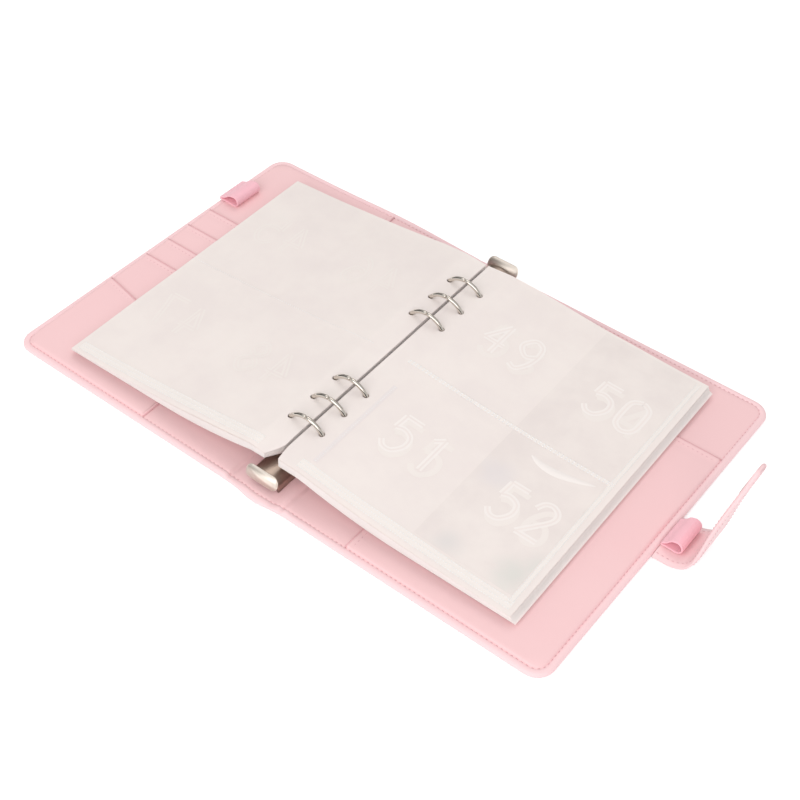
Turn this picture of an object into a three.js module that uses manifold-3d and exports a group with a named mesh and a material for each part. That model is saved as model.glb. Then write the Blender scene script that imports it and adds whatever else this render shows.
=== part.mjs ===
// Cash envelope wallet: an A5 six-ring binder lying open, with clear pocket pages
// in two stacks on its rings. Millimetres, +Z up. X runs across the open wallet,
// Y along its spine towards the top of the pages, and the origin is the centre of
// the spine's underside, below the line of the rings.

import * as THREE from 'three';
import { mergeVertices } from 'three/addons/utils/BufferGeometryUtils.js';
import Module from 'manifold-3d';

const wasm = await Module();
wasm.setup();

// Cover
const COVER_HEIGHT = 236.4;
const FRONT_WIDTH = 168.8; // hinge line to outer edge
const BACK_WIDTH = 168.8;
const SPINE_WIDTH = 38; // between the two hinge lines
const COVER_CORNER_RADIUS = 11;
const BOARD_THICKNESS = 2;
const LINING_THICKNESS = 1;
const LINING_INSET = 0.8; // the turned edge of the skin stands outside the lining
const CLEARANCE = 0.3; // between neighbours that were cut for each other

// Pockets on the inside of the covers
const POCKET_THICKNESS = 0.9;
const LEFT_POCKET_WIDTH = 101;
const RIGHT_POCKET_WIDTH = 125.7;
const RIGHT_POCKET_TOP = 64;
const CARD_SLOT_TOPS = [43.5, 23.5, 5, -14];
const CARD_SLOT_TUCK = 6; // length of a slot's foot under the next one
const CARD_SLOT_THICKNESS = 0.6;
const CARD_SLOT_LIFT = 1.04; // rise of a slot's open edge over its sewn foot
const LOW_SLOT_TOP = -44; // at the outer edge
const LOW_SLOT_SLOPE = 0.2;
const LOW_SLOT_LIFT = 1.3;
const SLOT_EDGE_MARGIN = 1.2; // between the slots' inner ends and the pocket's edge

// Elastic pen loops
const ELASTIC_THICKNESS = 1;
const LEFT_LOOP_REACH = 16;
const LEFT_LOOP_HEIGHT = 7.6;
const LEFT_LOOP_LENGTH = 22;
const LEFT_LOOP_Y = 68;
const RIGHT_LOOP_REACH = 12.6;
const RIGHT_LOOP_HEIGHT = 8.4;
const RIGHT_LOOP_LENGTH = 21;
const RIGHT_LOOP_Y = 1.5;
const RIGHT_LOOP_LIFT = 0.5; // over the strap's root

// Closing strap and its two discs
const STRAP_WIDTH = 33;
const STRAP_THICKNESS = 2.6;
const STRAP_Y = -0.5;
const STRAP_TOP = 83.3;
const STRAP_TAPER_START = 46;
const STRAP_NOSE_RADIUS = 8.5;
const STRAP_NOSE_ANGLE = 0.7; // radians, where the round tip takes over from the taper
const STRAP_LIFT = 0.2; // its root over the table
const STRAP_RISE = [
  [9, 0], [15, 1.7], [21, 6], [25, 12.3], [27.6, 21], [31, 37], [34.2, 53], [36.4, 69], [37.2, 84.5],
];
const STRAP_REACH = 60; // out from the cover's edge, more than the strap leans
const STRAP_STEPS = 26;
const DISC_RADIUS = 7;
const DISC_THICKNESS = 1;
const DISC_BELOW_TIP = 14;
const COVER_DISC_INSET = 50; // from the front cover's outer edge

// Ring mechanism
const RING_PITCH = 19; // within each group of three
const RING_GROUP_GAP = 70; // between the two groups
const RINGS_PER_GROUP = 3;
const RING_RADIUS = 13.2; // centreline
const RING_CENTRE_Z = 13;
const WIRE_RADIUS = 1.3;
const WIRE_SIDES = 8;
const WIRE_STEPS = 13;
const HOUSING_HALF_WIDTH = 10;
const HOUSING_HEIGHT = 8.5;
const HOUSING_SIDE_HEIGHT = 2.6;
const HOUSING_WALL = 0.9;
const HOUSING_NEAR_Y = -104.4;
const HOUSING_FAR_Y = 109.8;
const NOTCH_HEIGHT = 5; // for the wires, up each side of the housing
const LEAF_THICKNESS = 1;
const LEAF_HEIGHT = 2.7; // mid-thickness over the lining
const LEAF_END_GAP = 7; // from the housing's end to the leaf's
const RIVET_SPACING = 176;
const RIVET_RADIUS = 1.9;
const RIVET_CAP_RADIUS = 4;
const RIVET_CAP_THICKNESS = 0.8;
const RIVET_SIDES = 16;

// Levers at both ends of the mechanism
const LEVER_WIDTH = 22;
const LEVER_HEIGHT = 8;
const LEVER_LIFT = 1; // over the lining
const LEVER_THICKNESS = 1.2;
const LEVER_GAP = 1.2; // from the housing's end
const LEVER_CORNER_RADIUS = 3.6;
const SHOULDER_LENGTH = 2.7;
const TONGUE_WIDTH = 8;
const TONGUE_LENGTH = 4.6;
const TONGUE_THICKNESS = 1;

// Pocket pages
const PAGE_EDGE_MARGIN = 32.8; // from the pages' outer edges to the narrower cover's
const PAGE_HEIGHT = 204;
const PAGE_CENTRE_Y = 1;
const PAGE_INNER_X = 5;
const PAGE_SKEW = 1; // degrees, how far the stacks lie off square
const STACK_TOP = 20.3;
const STACK_ROOT_BOTTOM = 12;
const STACK_ROOT_WIDTH = 12; // level strip beside the rings
const STACK_EDGE_TOP = 10.4;
const STACK_EDGE_BOTTOM = 6;
const HOLE_WIDTH = 6; // along the spine
const HOLE_INNER_X = 6.5;
const HOLE_OUTER_X = 16.2;

// Levels and lines worked out from them
const INSIDE_Z = BOARD_THICKNESS + LINING_THICKNESS;
const POCKET_Z = INSIDE_Z + POCKET_THICKNESS;
const HINGE_X = SPINE_WIDTH / 2;
const FRONT_EDGE_X = -HINGE_X - FRONT_WIDTH;
const BACK_EDGE_X = HINGE_X + BACK_WIDTH;
const PAGE_OUTER_X = Math.min(-FRONT_EDGE_X, BACK_EDGE_X) - PAGE_EDGE_MARGIN;
const LEAF_Z = INSIDE_Z + LEAF_HEIGHT;
const LEAF_HINGE_X = HOUSING_HALF_WIDTH - HOUSING_WALL - 2 * CLEARANCE;
const FULL_TURN = 2 * Math.PI;

const wallet = new THREE.Group();

// Materials, one for each mesh
const LOOKS = {
  skin: { color: '#f2c4c6', roughness: 0.55, metalness: 0 },
  lining: { color: '#f6cfd0', roughness: 0.6, metalness: 0 },
  elastic: { color: '#fac8d4', roughness: 0.85, metalness: 0 },
  nickel: { color: '#c9bdaf', roughness: 0.3, metalness: 1 },
  film: { color: '#f0e8e5', roughness: 0.45, metalness: 0 },
};

function addPart(name, geometry, look) {
  const mesh = new THREE.Mesh(geometry, new THREE.MeshStandardMaterial(LOOKS[look]));
  mesh.name = name;
  wallet.add(mesh);
  return mesh;
}

// Solids for cutting and joining
function toSolid(geometry) {
  const bare = geometry.clone();
  bare.deleteAttribute('normal');
  bare.deleteAttribute('uv');
  const merged = mergeVertices(bare, 1e-4);
  const vertProperties = Float32Array.from(merged.attributes.position.array);
  const triVerts = Uint32Array.from(merged.index.array);
  return new wasm.Manifold(new wasm.Mesh({ numProp: 3, vertProperties, triVerts }));
}

function toGeometry(solid) {
  const mesh = solid.getMesh();
  const geometry = new THREE.BufferGeometry();
  geometry.setAttribute('position', new THREE.BufferAttribute(mesh.vertProperties, 3));
  geometry.setIndex(new THREE.BufferAttribute(mesh.triVerts, 1));
  geometry.computeVertexNormals();
  return geometry;
}

function cut(geometry, tools) {
  return toGeometry(tools.reduce((solid, tool) => solid.subtract(toSolid(tool)), toSolid(geometry)));
}

function join(geometries) {
  return toGeometry(geometries.map(toSolid).reduce((sum, solid) => sum.add(solid)));
}

// A flat sheet: an outline in X and Y, raised from z by its thickness
function sheet(outline, z, thickness) {
  const geometry = new THREE.ExtrudeGeometry(outline, { depth: thickness, bevelEnabled: false, curveSegments: 6 });
  return geometry.translate(0, 0, z);
}

// A prism along the spine: an outline in X and Z, between two Y values
function prism(outline, nearY, farY, curveSegments = 6) {
  const geometry = new THREE.ExtrudeGeometry(outline, { depth: farY - nearY, bevelEnabled: false, curveSegments });
  return geometry.rotateX(Math.PI / 2).translate(0, farY, 0);
}

function box(x0, x1, y0, y1, z0, z1) {
  const geometry = new THREE.BoxGeometry(x1 - x0, y1 - y0, z1 - z0);
  return geometry.translate((x0 + x1) / 2, (y0 + y1) / 2, (z0 + z1) / 2);
}

function disc(x, y, z0, z1, radius) {
  const geometry = new THREE.CylinderGeometry(radius, radius, z1 - z0, RIVET_SIDES);
  return geometry.rotateX(Math.PI / 2).translate(x, y, (z0 + z1) / 2);
}

function polygon(points) {
  return new THREE.Shape(points.map(([x, y]) => new THREE.Vector2(x, y)));
}

// A rectangle from one straight edge to an outer edge with two rounded corners
function panelOutline(innerX, outerX, bottomY, topY, radius) {
  const side = Math.sign(outerX - innerX);
  const outline = new THREE.Shape();
  outline.moveTo(innerX, bottomY);
  outline.lineTo(outerX - side * radius, bottomY);
  outline.absarc(outerX - side * radius, bottomY + radius, radius, -Math.PI / 2, side > 0 ? 0 : -Math.PI, side < 0);
  outline.lineTo(outerX, topY - radius);
  outline.absarc(outerX - side * radius, topY - radius, radius, side > 0 ? 0 : Math.PI, Math.PI / 2, side < 0);
  outline.lineTo(innerX, topY);
  return outline;
}

// Cover boards with their skin, and the lining on each
const halfHeight = COVER_HEIGHT / 2;
const liningHalfHeight = halfHeight - LINING_INSET;
const liningRadius = COVER_CORNER_RADIUS - LINING_INSET;
const foldX = HINGE_X + CLEARANCE / 2;
const rivetYs = [-RIVET_SPACING / 2, RIVET_SPACING / 2];
const coverDiscX = FRONT_EDGE_X + COVER_DISC_INSET;

function coverPanel(edgeX) {
  const side = Math.sign(edgeX);
  const outline = panelOutline(side * foldX, edgeX, -halfHeight, halfHeight, COVER_CORNER_RADIUS);
  return sheet(outline, 0, BOARD_THICKNESS);
}

function liningPanel(edgeX) {
  const side = Math.sign(edgeX);
  const outerX = edgeX - side * LINING_INSET;
  const outline = panelOutline(side * foldX, outerX, -liningHalfHeight, liningHalfHeight, liningRadius);
  return sheet(outline, BOARD_THICKNESS, LINING_THICKNESS);
}

const discRecess = disc(coverDiscX, STRAP_Y, -1, DISC_THICKNESS + CLEARANCE, DISC_RADIUS + CLEARANCE);
addPart('front_cover', cut(coverPanel(FRONT_EDGE_X), [discRecess]), 'skin');
addPart('back_cover', coverPanel(BACK_EDGE_X), 'skin');
addPart('front_lining', liningPanel(FRONT_EDGE_X), 'lining');
addPart('back_lining', liningPanel(BACK_EDGE_X), 'lining');

const spineX = HINGE_X - CLEARANCE / 2;
const capRecesses = rivetYs.map((y) =>
  disc(0, y, -1, RIVET_CAP_THICKNESS + CLEARANCE, RIVET_CAP_RADIUS + CLEARANCE));
const postHoles = rivetYs.map((y) => disc(0, y, -1, INSIDE_Z + 1, RIVET_RADIUS + CLEARANCE));
const spineBoard = box(-spineX, spineX, -halfHeight, halfHeight, 0, BOARD_THICKNESS);
const spineSheet = box(-spineX, spineX, -liningHalfHeight, liningHalfHeight, BOARD_THICKNESS, INSIDE_Z);
addPart('spine_cover', cut(spineBoard, [...capRecesses, ...postHoles]), 'skin');
addPart('spine_lining', cut(spineSheet, postHoles), 'lining');

// Pocket panels, each a sheet sewn to the lining along its outer edges
const frontSheetX = FRONT_EDGE_X + LINING_INSET;
const backSheetX = BACK_EDGE_X - LINING_INSET;
const leftPocketX = frontSheetX + LEFT_POCKET_WIDTH;
const leftPocket = panelOutline(leftPocketX, frontSheetX, -liningHalfHeight, liningHalfHeight, liningRadius);
addPart('left_pocket_panel', sheet(leftPocket, INSIDE_Z, POCKET_THICKNESS), 'lining');

function rightPocketOutline() {
  const innerX = backSheetX - RIGHT_POCKET_WIDTH;
  const outline = new THREE.Shape();
  outline.moveTo(innerX, -liningHalfHeight);
  outline.lineTo(backSheetX - liningRadius, -liningHalfHeight);
  outline.absarc(backSheetX - liningRadius, liningRadius - liningHalfHeight, liningRadius, -Math.PI / 2, 0, false);
  outline.lineTo(backSheetX, RIGHT_POCKET_TOP);
  outline.lineTo(innerX, RIGHT_POCKET_TOP);
  return outline;
}
addPart('right_pocket_panel', sheet(rightPocketOutline(), INSIDE_Z, POCKET_THICKNESS), 'lining');

// Card slots, laid like shingles: each rises from its sewn foot to its open top edge
const slotInnerX = leftPocketX - SLOT_EDGE_MARGIN;

function cardSlot(name, outline, footY, topY, lift) {
  const geometry = sheet(outline, 0, CARD_SLOT_THICKNESS);
  const slot = addPart(name, geometry.translate(0, -footY, 0), 'lining');
  slot.position.set(0, footY, POCKET_Z);
  slot.rotation.x = Math.atan(lift / (topY - footY));
  return slot;
}

const lowSlotInnerTop = LOW_SLOT_TOP - LOW_SLOT_SLOPE * (slotInnerX - frontSheetX);
CARD_SLOT_TOPS.forEach((topY, index) => {
  const nextTop = CARD_SLOT_TOPS[index + 1] ?? lowSlotInnerTop;
  const footY = nextTop - CARD_SLOT_TUCK;
  const corners = [[frontSheetX, footY], [slotInnerX, footY], [slotInnerX, topY], [frontSheetX, topY]];
  cardSlot(`card_slot_${index + 1}`, polygon(corners), footY, topY, CARD_SLOT_LIFT);
});

function lowSlotOutline() {
  const cornerX = frontSheetX + liningRadius;
  const outline = new THREE.Shape();
  outline.moveTo(slotInnerX, -liningHalfHeight);
  outline.lineTo(slotInnerX, lowSlotInnerTop);
  outline.lineTo(frontSheetX, LOW_SLOT_TOP);
  outline.lineTo(frontSheetX, liningRadius - liningHalfHeight);
  outline.absarc(cornerX, liningRadius - liningHalfHeight, liningRadius, -Math.PI, -Math.PI / 2, false);
  return outline;
}
const lowSlotName = `card_slot_${CARD_SLOT_TOPS.length + 1}`;
cardSlot(lowSlotName, lowSlotOutline(), -liningHalfHeight, LOW_SLOT_TOP, LOW_SLOT_LIFT);

// Elastic pen loops: a band doubled at its sewn tail and bulging into a teardrop
function loopOutline(reach, height) {
  const radius = height / 2;
  const innerRadius = radius - ELASTIC_THICKNESS;
  const centreX = reach - radius;
  const tailHeight = 2 * ELASTIC_THICKNESS;
  const outline = new THREE.Shape();
  outline.moveTo(0, 0);
  outline.lineTo(centreX, 0);
  outline.absarc(centreX, radius, radius, -Math.PI / 2, Math.PI / 2, false);
  outline.quadraticCurveTo(centreX - radius, height, tailHeight, tailHeight);
  outline.lineTo(0, tailHeight);
  const hollow = new THREE.Path();
  hollow.moveTo(2 * tailHeight, ELASTIC_THICKNESS);
  hollow.lineTo(centreX, ELASTIC_THICKNESS);
  hollow.absarc(centreX, radius, innerRadius, -Math.PI / 2, Math.PI / 2, false);
  hollow.quadraticCurveTo(centreX - radius, radius + innerRadius, 2 * tailHeight, ELASTIC_THICKNESS);
  outline.holes.push(hollow);
  return outline;
}

function penLoop(name, reach, height, length) {
  const band = prism(loopOutline(reach, height), -length / 2, length / 2, 5);
  return addPart(name, band, 'elastic');
}

const leftLoop = penLoop('pen_loop_left', LEFT_LOOP_REACH, LEFT_LOOP_HEIGHT, LEFT_LOOP_LENGTH);
leftLoop.position.set(frontSheetX, LEFT_LOOP_Y, POCKET_Z);
const rightLoop = penLoop('pen_loop_right', RIGHT_LOOP_REACH, RIGHT_LOOP_HEIGHT, RIGHT_LOOP_LENGTH);
const rightLoopZ = STRAP_LIFT + STRAP_THICKNESS + RIGHT_LOOP_LIFT;
rightLoop.position.set(BACK_EDGE_X + CLEARANCE, RIGHT_LOOP_Y, rightLoopZ);

// Closing strap: a band that leaves the back cover's edge and stands up, then
// narrows to a rounded tip
function strapCentreline() {
  const rootX = BACK_EDGE_X + CLEARANCE;
  const midZ = STRAP_LIFT + STRAP_THICKNESS / 2;
  const points = [[0, 0], ...STRAP_RISE].map(([x, z]) => new THREE.Vector2(rootX + x, midZ + z));
  return new THREE.SplineCurve(points);
}

function strapSide() {
  const curve = strapCentreline();
  const outer = [];
  const inner = [];
  for (let step = 0; step <= STRAP_STEPS; step += 1) {
    const point = curve.getPointAt(step / STRAP_STEPS);
    const tangent = step === 0 ? new THREE.Vector2(1, 0) : curve.getTangentAt(step / STRAP_STEPS);
    const normal = new THREE.Vector2(-tangent.y, tangent.x).multiplyScalar(STRAP_THICKNESS / 2);
    outer.push(point.clone().sub(normal));
    inner.unshift(point.clone().add(normal));
  }
  return new THREE.Shape([...outer, ...inner]);
}

function strapFront() {
  const half = STRAP_WIDTH / 2;
  const noseY = STRAP_TOP - STRAP_NOSE_RADIUS;
  const noseEndX = STRAP_NOSE_RADIUS * Math.cos(STRAP_NOSE_ANGLE);
  const noseEndY = noseY + STRAP_NOSE_RADIUS * Math.sin(STRAP_NOSE_ANGLE);
  const bendY = noseEndY - (half - noseEndX) / Math.tan(STRAP_NOSE_ANGLE);
  const outline = new THREE.Shape();
  outline.moveTo(-half, -1);
  outline.lineTo(half, -1);
  outline.lineTo(half, STRAP_TAPER_START);
  outline.quadraticCurveTo(half, bendY, noseEndX, noseEndY);
  outline.absarc(0, noseY, STRAP_NOSE_RADIUS, STRAP_NOSE_ANGLE, Math.PI - STRAP_NOSE_ANGLE, false);
  outline.quadraticCurveTo(-half, bendY, -half, STRAP_TAPER_START);
  return outline;
}

const strapBand = prism(strapSide(), -STRAP_WIDTH, STRAP_WIDTH);
const strapBlank = sheet(strapFront(), 0, STRAP_REACH)
  .rotateX(Math.PI / 2).rotateZ(Math.PI / 2).translate(BACK_EDGE_X, 0, 0);
const strap = toGeometry(toSolid(strapBand).intersect(toSolid(strapBlank)));
addPart('closing_strap', strap.translate(0, STRAP_Y, 0), 'skin');

// Closing discs: one on the strap's inner face, one sunk in the front cover's outside
function placeStrapDisc() {
  const curve = strapCentreline();
  const discZ = STRAP_TOP - DISC_BELOW_TIP;
  let at = 1;
  while (curve.getPointAt(at).y > discZ) at -= 0.002;
  const point = curve.getPointAt(at);
  const tangent = curve.getTangentAt(at);
  const away = STRAP_THICKNESS / 2 + CLEARANCE;
  const strapDisc = addPart('closing_disc_strap', disc(0, 0, 0, DISC_THICKNESS, DISC_RADIUS), 'nickel');
  strapDisc.position.set(point.x - tangent.y * away, STRAP_Y, point.y + tangent.x * away);
  strapDisc.rotation.y = -Math.atan2(tangent.y, tangent.x);
}
placeStrapDisc();
addPart('closing_disc_cover', disc(coverDiscX, STRAP_Y, 0, DISC_THICKNESS, DISC_RADIUS), 'nickel');

// Ring mechanism: the arched housing with a notch for each wire
const ringYs = [];
for (let index = 0; index < RINGS_PER_GROUP; index += 1) {
  const y = RING_GROUP_GAP / 2 + index * RING_PITCH;
  ringYs.push(y);
  ringYs.unshift(-y);
}

function housingOutline() {
  const innerWidth = HOUSING_HALF_WIDTH - HOUSING_WALL;
  const shoulderZ = INSIDE_Z + HOUSING_SIDE_HEIGHT;
  const archHeight = HOUSING_HEIGHT - HOUSING_SIDE_HEIGHT;
  const outline = new THREE.Shape();
  outline.moveTo(HOUSING_HALF_WIDTH, INSIDE_Z);
  outline.absellipse(0, shoulderZ, HOUSING_HALF_WIDTH, archHeight, 0, Math.PI, false, 0);
  outline.lineTo(-HOUSING_HALF_WIDTH, INSIDE_Z);
  outline.lineTo(-innerWidth, INSIDE_Z);
  outline.absellipse(0, shoulderZ, innerWidth, archHeight - HOUSING_WALL, Math.PI, 0, true, 0);
  outline.lineTo(innerWidth, INSIDE_Z);
  return outline;
}

const notchHalfWidth = WIRE_RADIUS + 2 * CLEARANCE;
const notches = [-1, 1].flatMap((side) => ringYs.map((y) => {
  const innerX = side * (HOUSING_HALF_WIDTH - 2.5);
  const outerX = side * (HOUSING_HALF_WIDTH + 1);
  const [x0, x1] = [Math.min(innerX, outerX), Math.max(innerX, outerX)];
  return box(x0, x1, y - notchHalfWidth, y + notchHalfWidth, INSIDE_Z - 1, INSIDE_Z + NOTCH_HEIGHT);
}));
const housingBlank = prism(housingOutline(), HOUSING_NEAR_Y, HOUSING_FAR_Y, 7);
addPart('ring_housing', cut(housingBlank, notches), 'nickel');

// Rivets that hold the housing: a cap sunk in the spine's outside and a post
const postTopZ = INSIDE_Z + HOUSING_HEIGHT - HOUSING_WALL - CLEARANCE;
rivetYs.forEach((y, index) => {
  const cap = disc(0, y, 0, RIVET_CAP_THICKNESS, RIVET_CAP_RADIUS);
  const post = disc(0, y, RIVET_CAP_THICKNESS / 2, postTopZ, RIVET_RADIUS);
  addPart(index === 0 ? 'near_rivet' : 'far_rivet', join([cap, post]), 'nickel');
});

// Leaves: the two plates inside the housing that carry the ring halves
const leafNearY = HOUSING_NEAR_Y + LEAF_END_GAP;
const leafFarY = HOUSING_FAR_Y - LEAF_END_GAP;
const leafOuterX = LEAF_HINGE_X - CLEARANCE;
const leafInnerX = CLEARANCE / 2;

function leaf(side) {
  const [x0, x1] = side > 0 ? [leafInnerX, leafOuterX] : [-leafOuterX, -leafInnerX];
  const plate = box(x0, x1, leafNearY, leafFarY, LEAF_Z - LEAF_THICKNESS / 2, LEAF_Z + LEAF_THICKNESS / 2);
  const reliefs = rivetYs.map((y) => disc(0, y, INSIDE_Z, postTopZ, RIVET_RADIUS + 2 * CLEARANCE));
  return cut(plate, reliefs);
}
addPart('left_leaf', leaf(-1), 'nickel');
addPart('right_leaf', leaf(1), 'nickel');

// Ring halves: an arc from the split at the top round to the leaf's level, then a
// short leg in through the housing's notch
function leftRingHalf() {
  const start = Math.PI / 2 + CLEARANCE / 2 / RING_RADIUS;
  const drop = (LEAF_Z - RING_CENTRE_Z) / RING_RADIUS;
  const end = Math.PI - Math.asin(drop);
  const points = [];
  for (let step = 0; step <= WIRE_STEPS; step += 1) {
    const angle = start + (end - start) * (step / WIRE_STEPS);
    const x = RING_RADIUS * Math.cos(angle);
    const z = RING_CENTRE_Z + RING_RADIUS * Math.sin(angle);
    points.push(new THREE.Vector3(x, 0, z));
  }
  points.push(new THREE.Vector3(-LEAF_HINGE_X, 0, LEAF_Z));
  const section = new THREE.Shape().absarc(0, 0, WIRE_RADIUS, 0, FULL_TURN);
  return new THREE.ExtrudeGeometry(section, {
    extrudePath: new THREE.CatmullRomCurve3(points),
    steps: WIRE_STEPS + 2,
    curveSegments: WIRE_SIDES / 2,
  });
}

ringYs.forEach((y, index) => {
  addPart(`left_ring_${index + 1}`, leftRingHalf(), 'nickel').position.y = y;
});
ringYs.forEach((y, index) => {
  const half = addPart(`right_ring_${index + 1}`, leftRingHalf(), 'nickel');
  half.position.y = y;
  half.rotation.z = Math.PI;
});

// Levers: an upright plate, shoulders that pivot in the housing and a tongue that
// reaches under the leaves
function lever() {
  const half = LEVER_WIDTH / 2;
  const bottomZ = INSIDE_Z + LEVER_LIFT;
  const topZ = bottomZ + LEVER_HEIGHT;
  const radius = LEVER_CORNER_RADIUS;
  const outline = new THREE.Shape();
  outline.moveTo(-half + radius, bottomZ);
  outline.lineTo(half - radius, bottomZ);
  outline.absarc(half - radius, bottomZ + radius, radius, -Math.PI / 2, 0, false);
  outline.absarc(half - radius, topZ - radius, radius, 0, Math.PI / 2, false);
  outline.absarc(-half + radius, topZ - radius, radius, Math.PI / 2, Math.PI, false);
  outline.absarc(-half + radius, bottomZ + radius, radius, Math.PI, 1.5 * Math.PI, false);
  const plate = prism(outline, -LEVER_GAP - LEVER_THICKNESS, -LEVER_GAP);
  const shoulderX = HOUSING_HALF_WIDTH - HOUSING_WALL - CLEARANCE;
  const armZ = bottomZ + TONGUE_THICKNESS;
  const shoulders = box(-shoulderX, shoulderX, -LEVER_GAP - LEVER_THICKNESS / 2, SHOULDER_LENGTH - LEVER_GAP, bottomZ, armZ);
  const tongueTip = SHOULDER_LENGTH - LEVER_GAP + TONGUE_LENGTH;
  const tongue = box(-TONGUE_WIDTH / 2, TONGUE_WIDTH / 2, -LEVER_GAP - LEVER_THICKNESS / 2, tongueTip, bottomZ, armZ);
  return join([plate, shoulders, tongue]);
}
addPart('near_lever', lever(), 'nickel').position.y = HOUSING_NEAR_Y;
const farLever = addPart('far_lever', lever(), 'nickel');
farLever.position.y = HOUSING_FAR_Y;
farLever.rotation.z = Math.PI;

// Page stacks: level beside the rings, sagging to the outer edge, with an oblong
// hole for each ring
function stackOutline() {
  const rootX = PAGE_INNER_X + STACK_ROOT_WIDTH;
  const outerX = PAGE_OUTER_X;
  const middleX = (rootX + outerX) / 2;
  const outline = new THREE.Shape();
  outline.moveTo(PAGE_INNER_X, STACK_ROOT_BOTTOM);
  outline.lineTo(rootX, STACK_ROOT_BOTTOM);
  outline.quadraticCurveTo((rootX + middleX) / 2, STACK_EDGE_BOTTOM, middleX, STACK_EDGE_BOTTOM);
  outline.lineTo(outerX, STACK_EDGE_BOTTOM);
  outline.lineTo(outerX, STACK_EDGE_TOP);
  outline.quadraticCurveTo(middleX, (STACK_EDGE_TOP + STACK_TOP) / 2 - 1, rootX, STACK_TOP);
  outline.lineTo(PAGE_INNER_X, STACK_TOP);
  return outline;
}

function ringHole(side, y) {
  const radius = HOLE_WIDTH / 2;
  const innerX = HOLE_INNER_X + radius;
  const outerX = HOLE_OUTER_X - radius;
  const outline = new THREE.Shape();
  outline.absarc(outerX, 0, radius, -Math.PI / 2, Math.PI / 2, false);
  outline.absarc(innerX, 0, radius, Math.PI / 2, 1.5 * Math.PI, false);
  const depth = STACK_TOP - STACK_ROOT_BOTTOM + 4;
  const hole = new THREE.ExtrudeGeometry(outline, { depth, bevelEnabled: false, curveSegments: 4 });
  if (side < 0) hole.rotateZ(Math.PI);
  return hole.translate(0, y, STACK_ROOT_BOTTOM - 2);
}

function pageStack(side) {
  const skew = THREE.MathUtils.degToRad(PAGE_SKEW);
  const blank = prism(stackOutline(), -PAGE_HEIGHT / 2, PAGE_HEIGHT / 2);
  if (side < 0) blank.rotateZ(Math.PI);
  blank.rotateZ(skew).translate(0, PAGE_CENTRE_Y, 0);
  return cut(blank, ringYs.map((y) => ringHole(side, y)));
}
addPart('left_pages', pageStack(-1), 'film');
addPart('right_pages', pageStack(1), 'film');

export default wallet;
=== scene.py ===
import math

import bmesh
import bpy
from mathutils import Matrix, Vector, noise


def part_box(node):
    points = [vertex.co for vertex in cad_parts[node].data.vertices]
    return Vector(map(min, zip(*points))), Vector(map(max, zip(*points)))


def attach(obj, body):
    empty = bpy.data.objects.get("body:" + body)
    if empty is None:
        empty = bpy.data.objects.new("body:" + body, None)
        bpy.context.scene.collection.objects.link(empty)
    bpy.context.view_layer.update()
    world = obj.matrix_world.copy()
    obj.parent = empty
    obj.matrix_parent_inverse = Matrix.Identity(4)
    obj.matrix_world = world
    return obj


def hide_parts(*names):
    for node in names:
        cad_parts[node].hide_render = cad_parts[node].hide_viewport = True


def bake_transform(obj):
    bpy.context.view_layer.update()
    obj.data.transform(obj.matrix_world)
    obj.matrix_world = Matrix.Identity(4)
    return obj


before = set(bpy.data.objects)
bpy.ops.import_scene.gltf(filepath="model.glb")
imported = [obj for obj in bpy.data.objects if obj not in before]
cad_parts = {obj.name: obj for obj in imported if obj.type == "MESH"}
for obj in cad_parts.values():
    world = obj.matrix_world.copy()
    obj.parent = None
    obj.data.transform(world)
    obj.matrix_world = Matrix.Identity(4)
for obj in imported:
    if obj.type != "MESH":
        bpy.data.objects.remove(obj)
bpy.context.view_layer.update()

bl_info = {
    "name": "Cash envelope wallet",
    "version": (1, 0, 0),
    "blender": (4, 5, 0),
    "location": "3D View > Sidebar > Wallet",
    "description": "Dresses the open ring wallet: leathercloth cover, nickel rings, frosted pocket pages",
    "category": "Object",
}

MM = 0.001

# Places read from the frame
FRONT_LOW, FRONT_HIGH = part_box("front_cover")
BACK_LOW, BACK_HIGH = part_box("back_cover")
SPINE_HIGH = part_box("spine_cover")[1]
LEFT_POCKET_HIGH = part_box("left_pocket_panel")[1]
RIGHT_POCKET_LOW, RIGHT_POCKET_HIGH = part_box("right_pocket_panel")
HOUSING_LOW, HOUSING_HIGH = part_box("ring_housing")
STRAP_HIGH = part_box("closing_strap")[1]
RING_BOXES = [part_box(f"left_ring_{index}") for index in range(1, 7)]
FRONT_EDGE_X = FRONT_LOW.x
BACK_EDGE_X = BACK_HIGH.x
POCKET_Z = LEFT_POCKET_HIGH.z
HINGE_X = SPINE_HIGH.x + 0.15 * MM  # half the gap between the spine and a cover
RING_YS = [(low.y + high.y) / 2 for low, high in RING_BOXES]
WIRE_RADIUS = (RING_BOXES[0][1].y - RING_BOXES[0][0].y) / 2

# Sizes that the frame's boxes don't give, in metres
CORNER_RADIUS = 11 * MM
BORDER = 4 * MM  # from the cover's edge to its stitch line
SEAM_INSET = 3.2 * MM  # from a pocket's open edge to its stitch line
SEAM_PROUD = 0.1 * MM
SEWN_DROP = 1.5 * MM  # a pocket sheet comes down to the lining where it is sewn
SEWN_WIDTH = 1.6 * MM
OPEN_DROP = 0.85 * MM
EDGE_ROLL = 0.42 * MM  # radius of the rolled edge at a pocket's opening
STITCH_LENGTH = 1.4 * MM
STITCH_WIDTH = 0.21 * MM
RING_RADIUS = 13.2 * MM
RING_CENTRE_Z = 13 * MM
LEAF_Z = 5.7 * MM
LEAF_HINGE_X = 8.5 * MM
HOUSING_NEAR_EXTRA = 3.8 * MM  # how far the housing shows past its solid
HOUSING_FAR_EXTRA = 2 * MM
LEVER_OUT = {-1: 3.6 * MM, 1: 2.6 * MM}  # how far the near and far lever show outside their solids
LEVER_UP = {-1: 2.0 * MM, 1: 1.3 * MM}
LEVER_LEAN = {-1: 0.4, 1: 0.6}  # how far a plate leans along the spine for each metre of height
LEVER_TALL = 7.8 * MM
LEVER_RADIUS = 3.8 * MM
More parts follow.
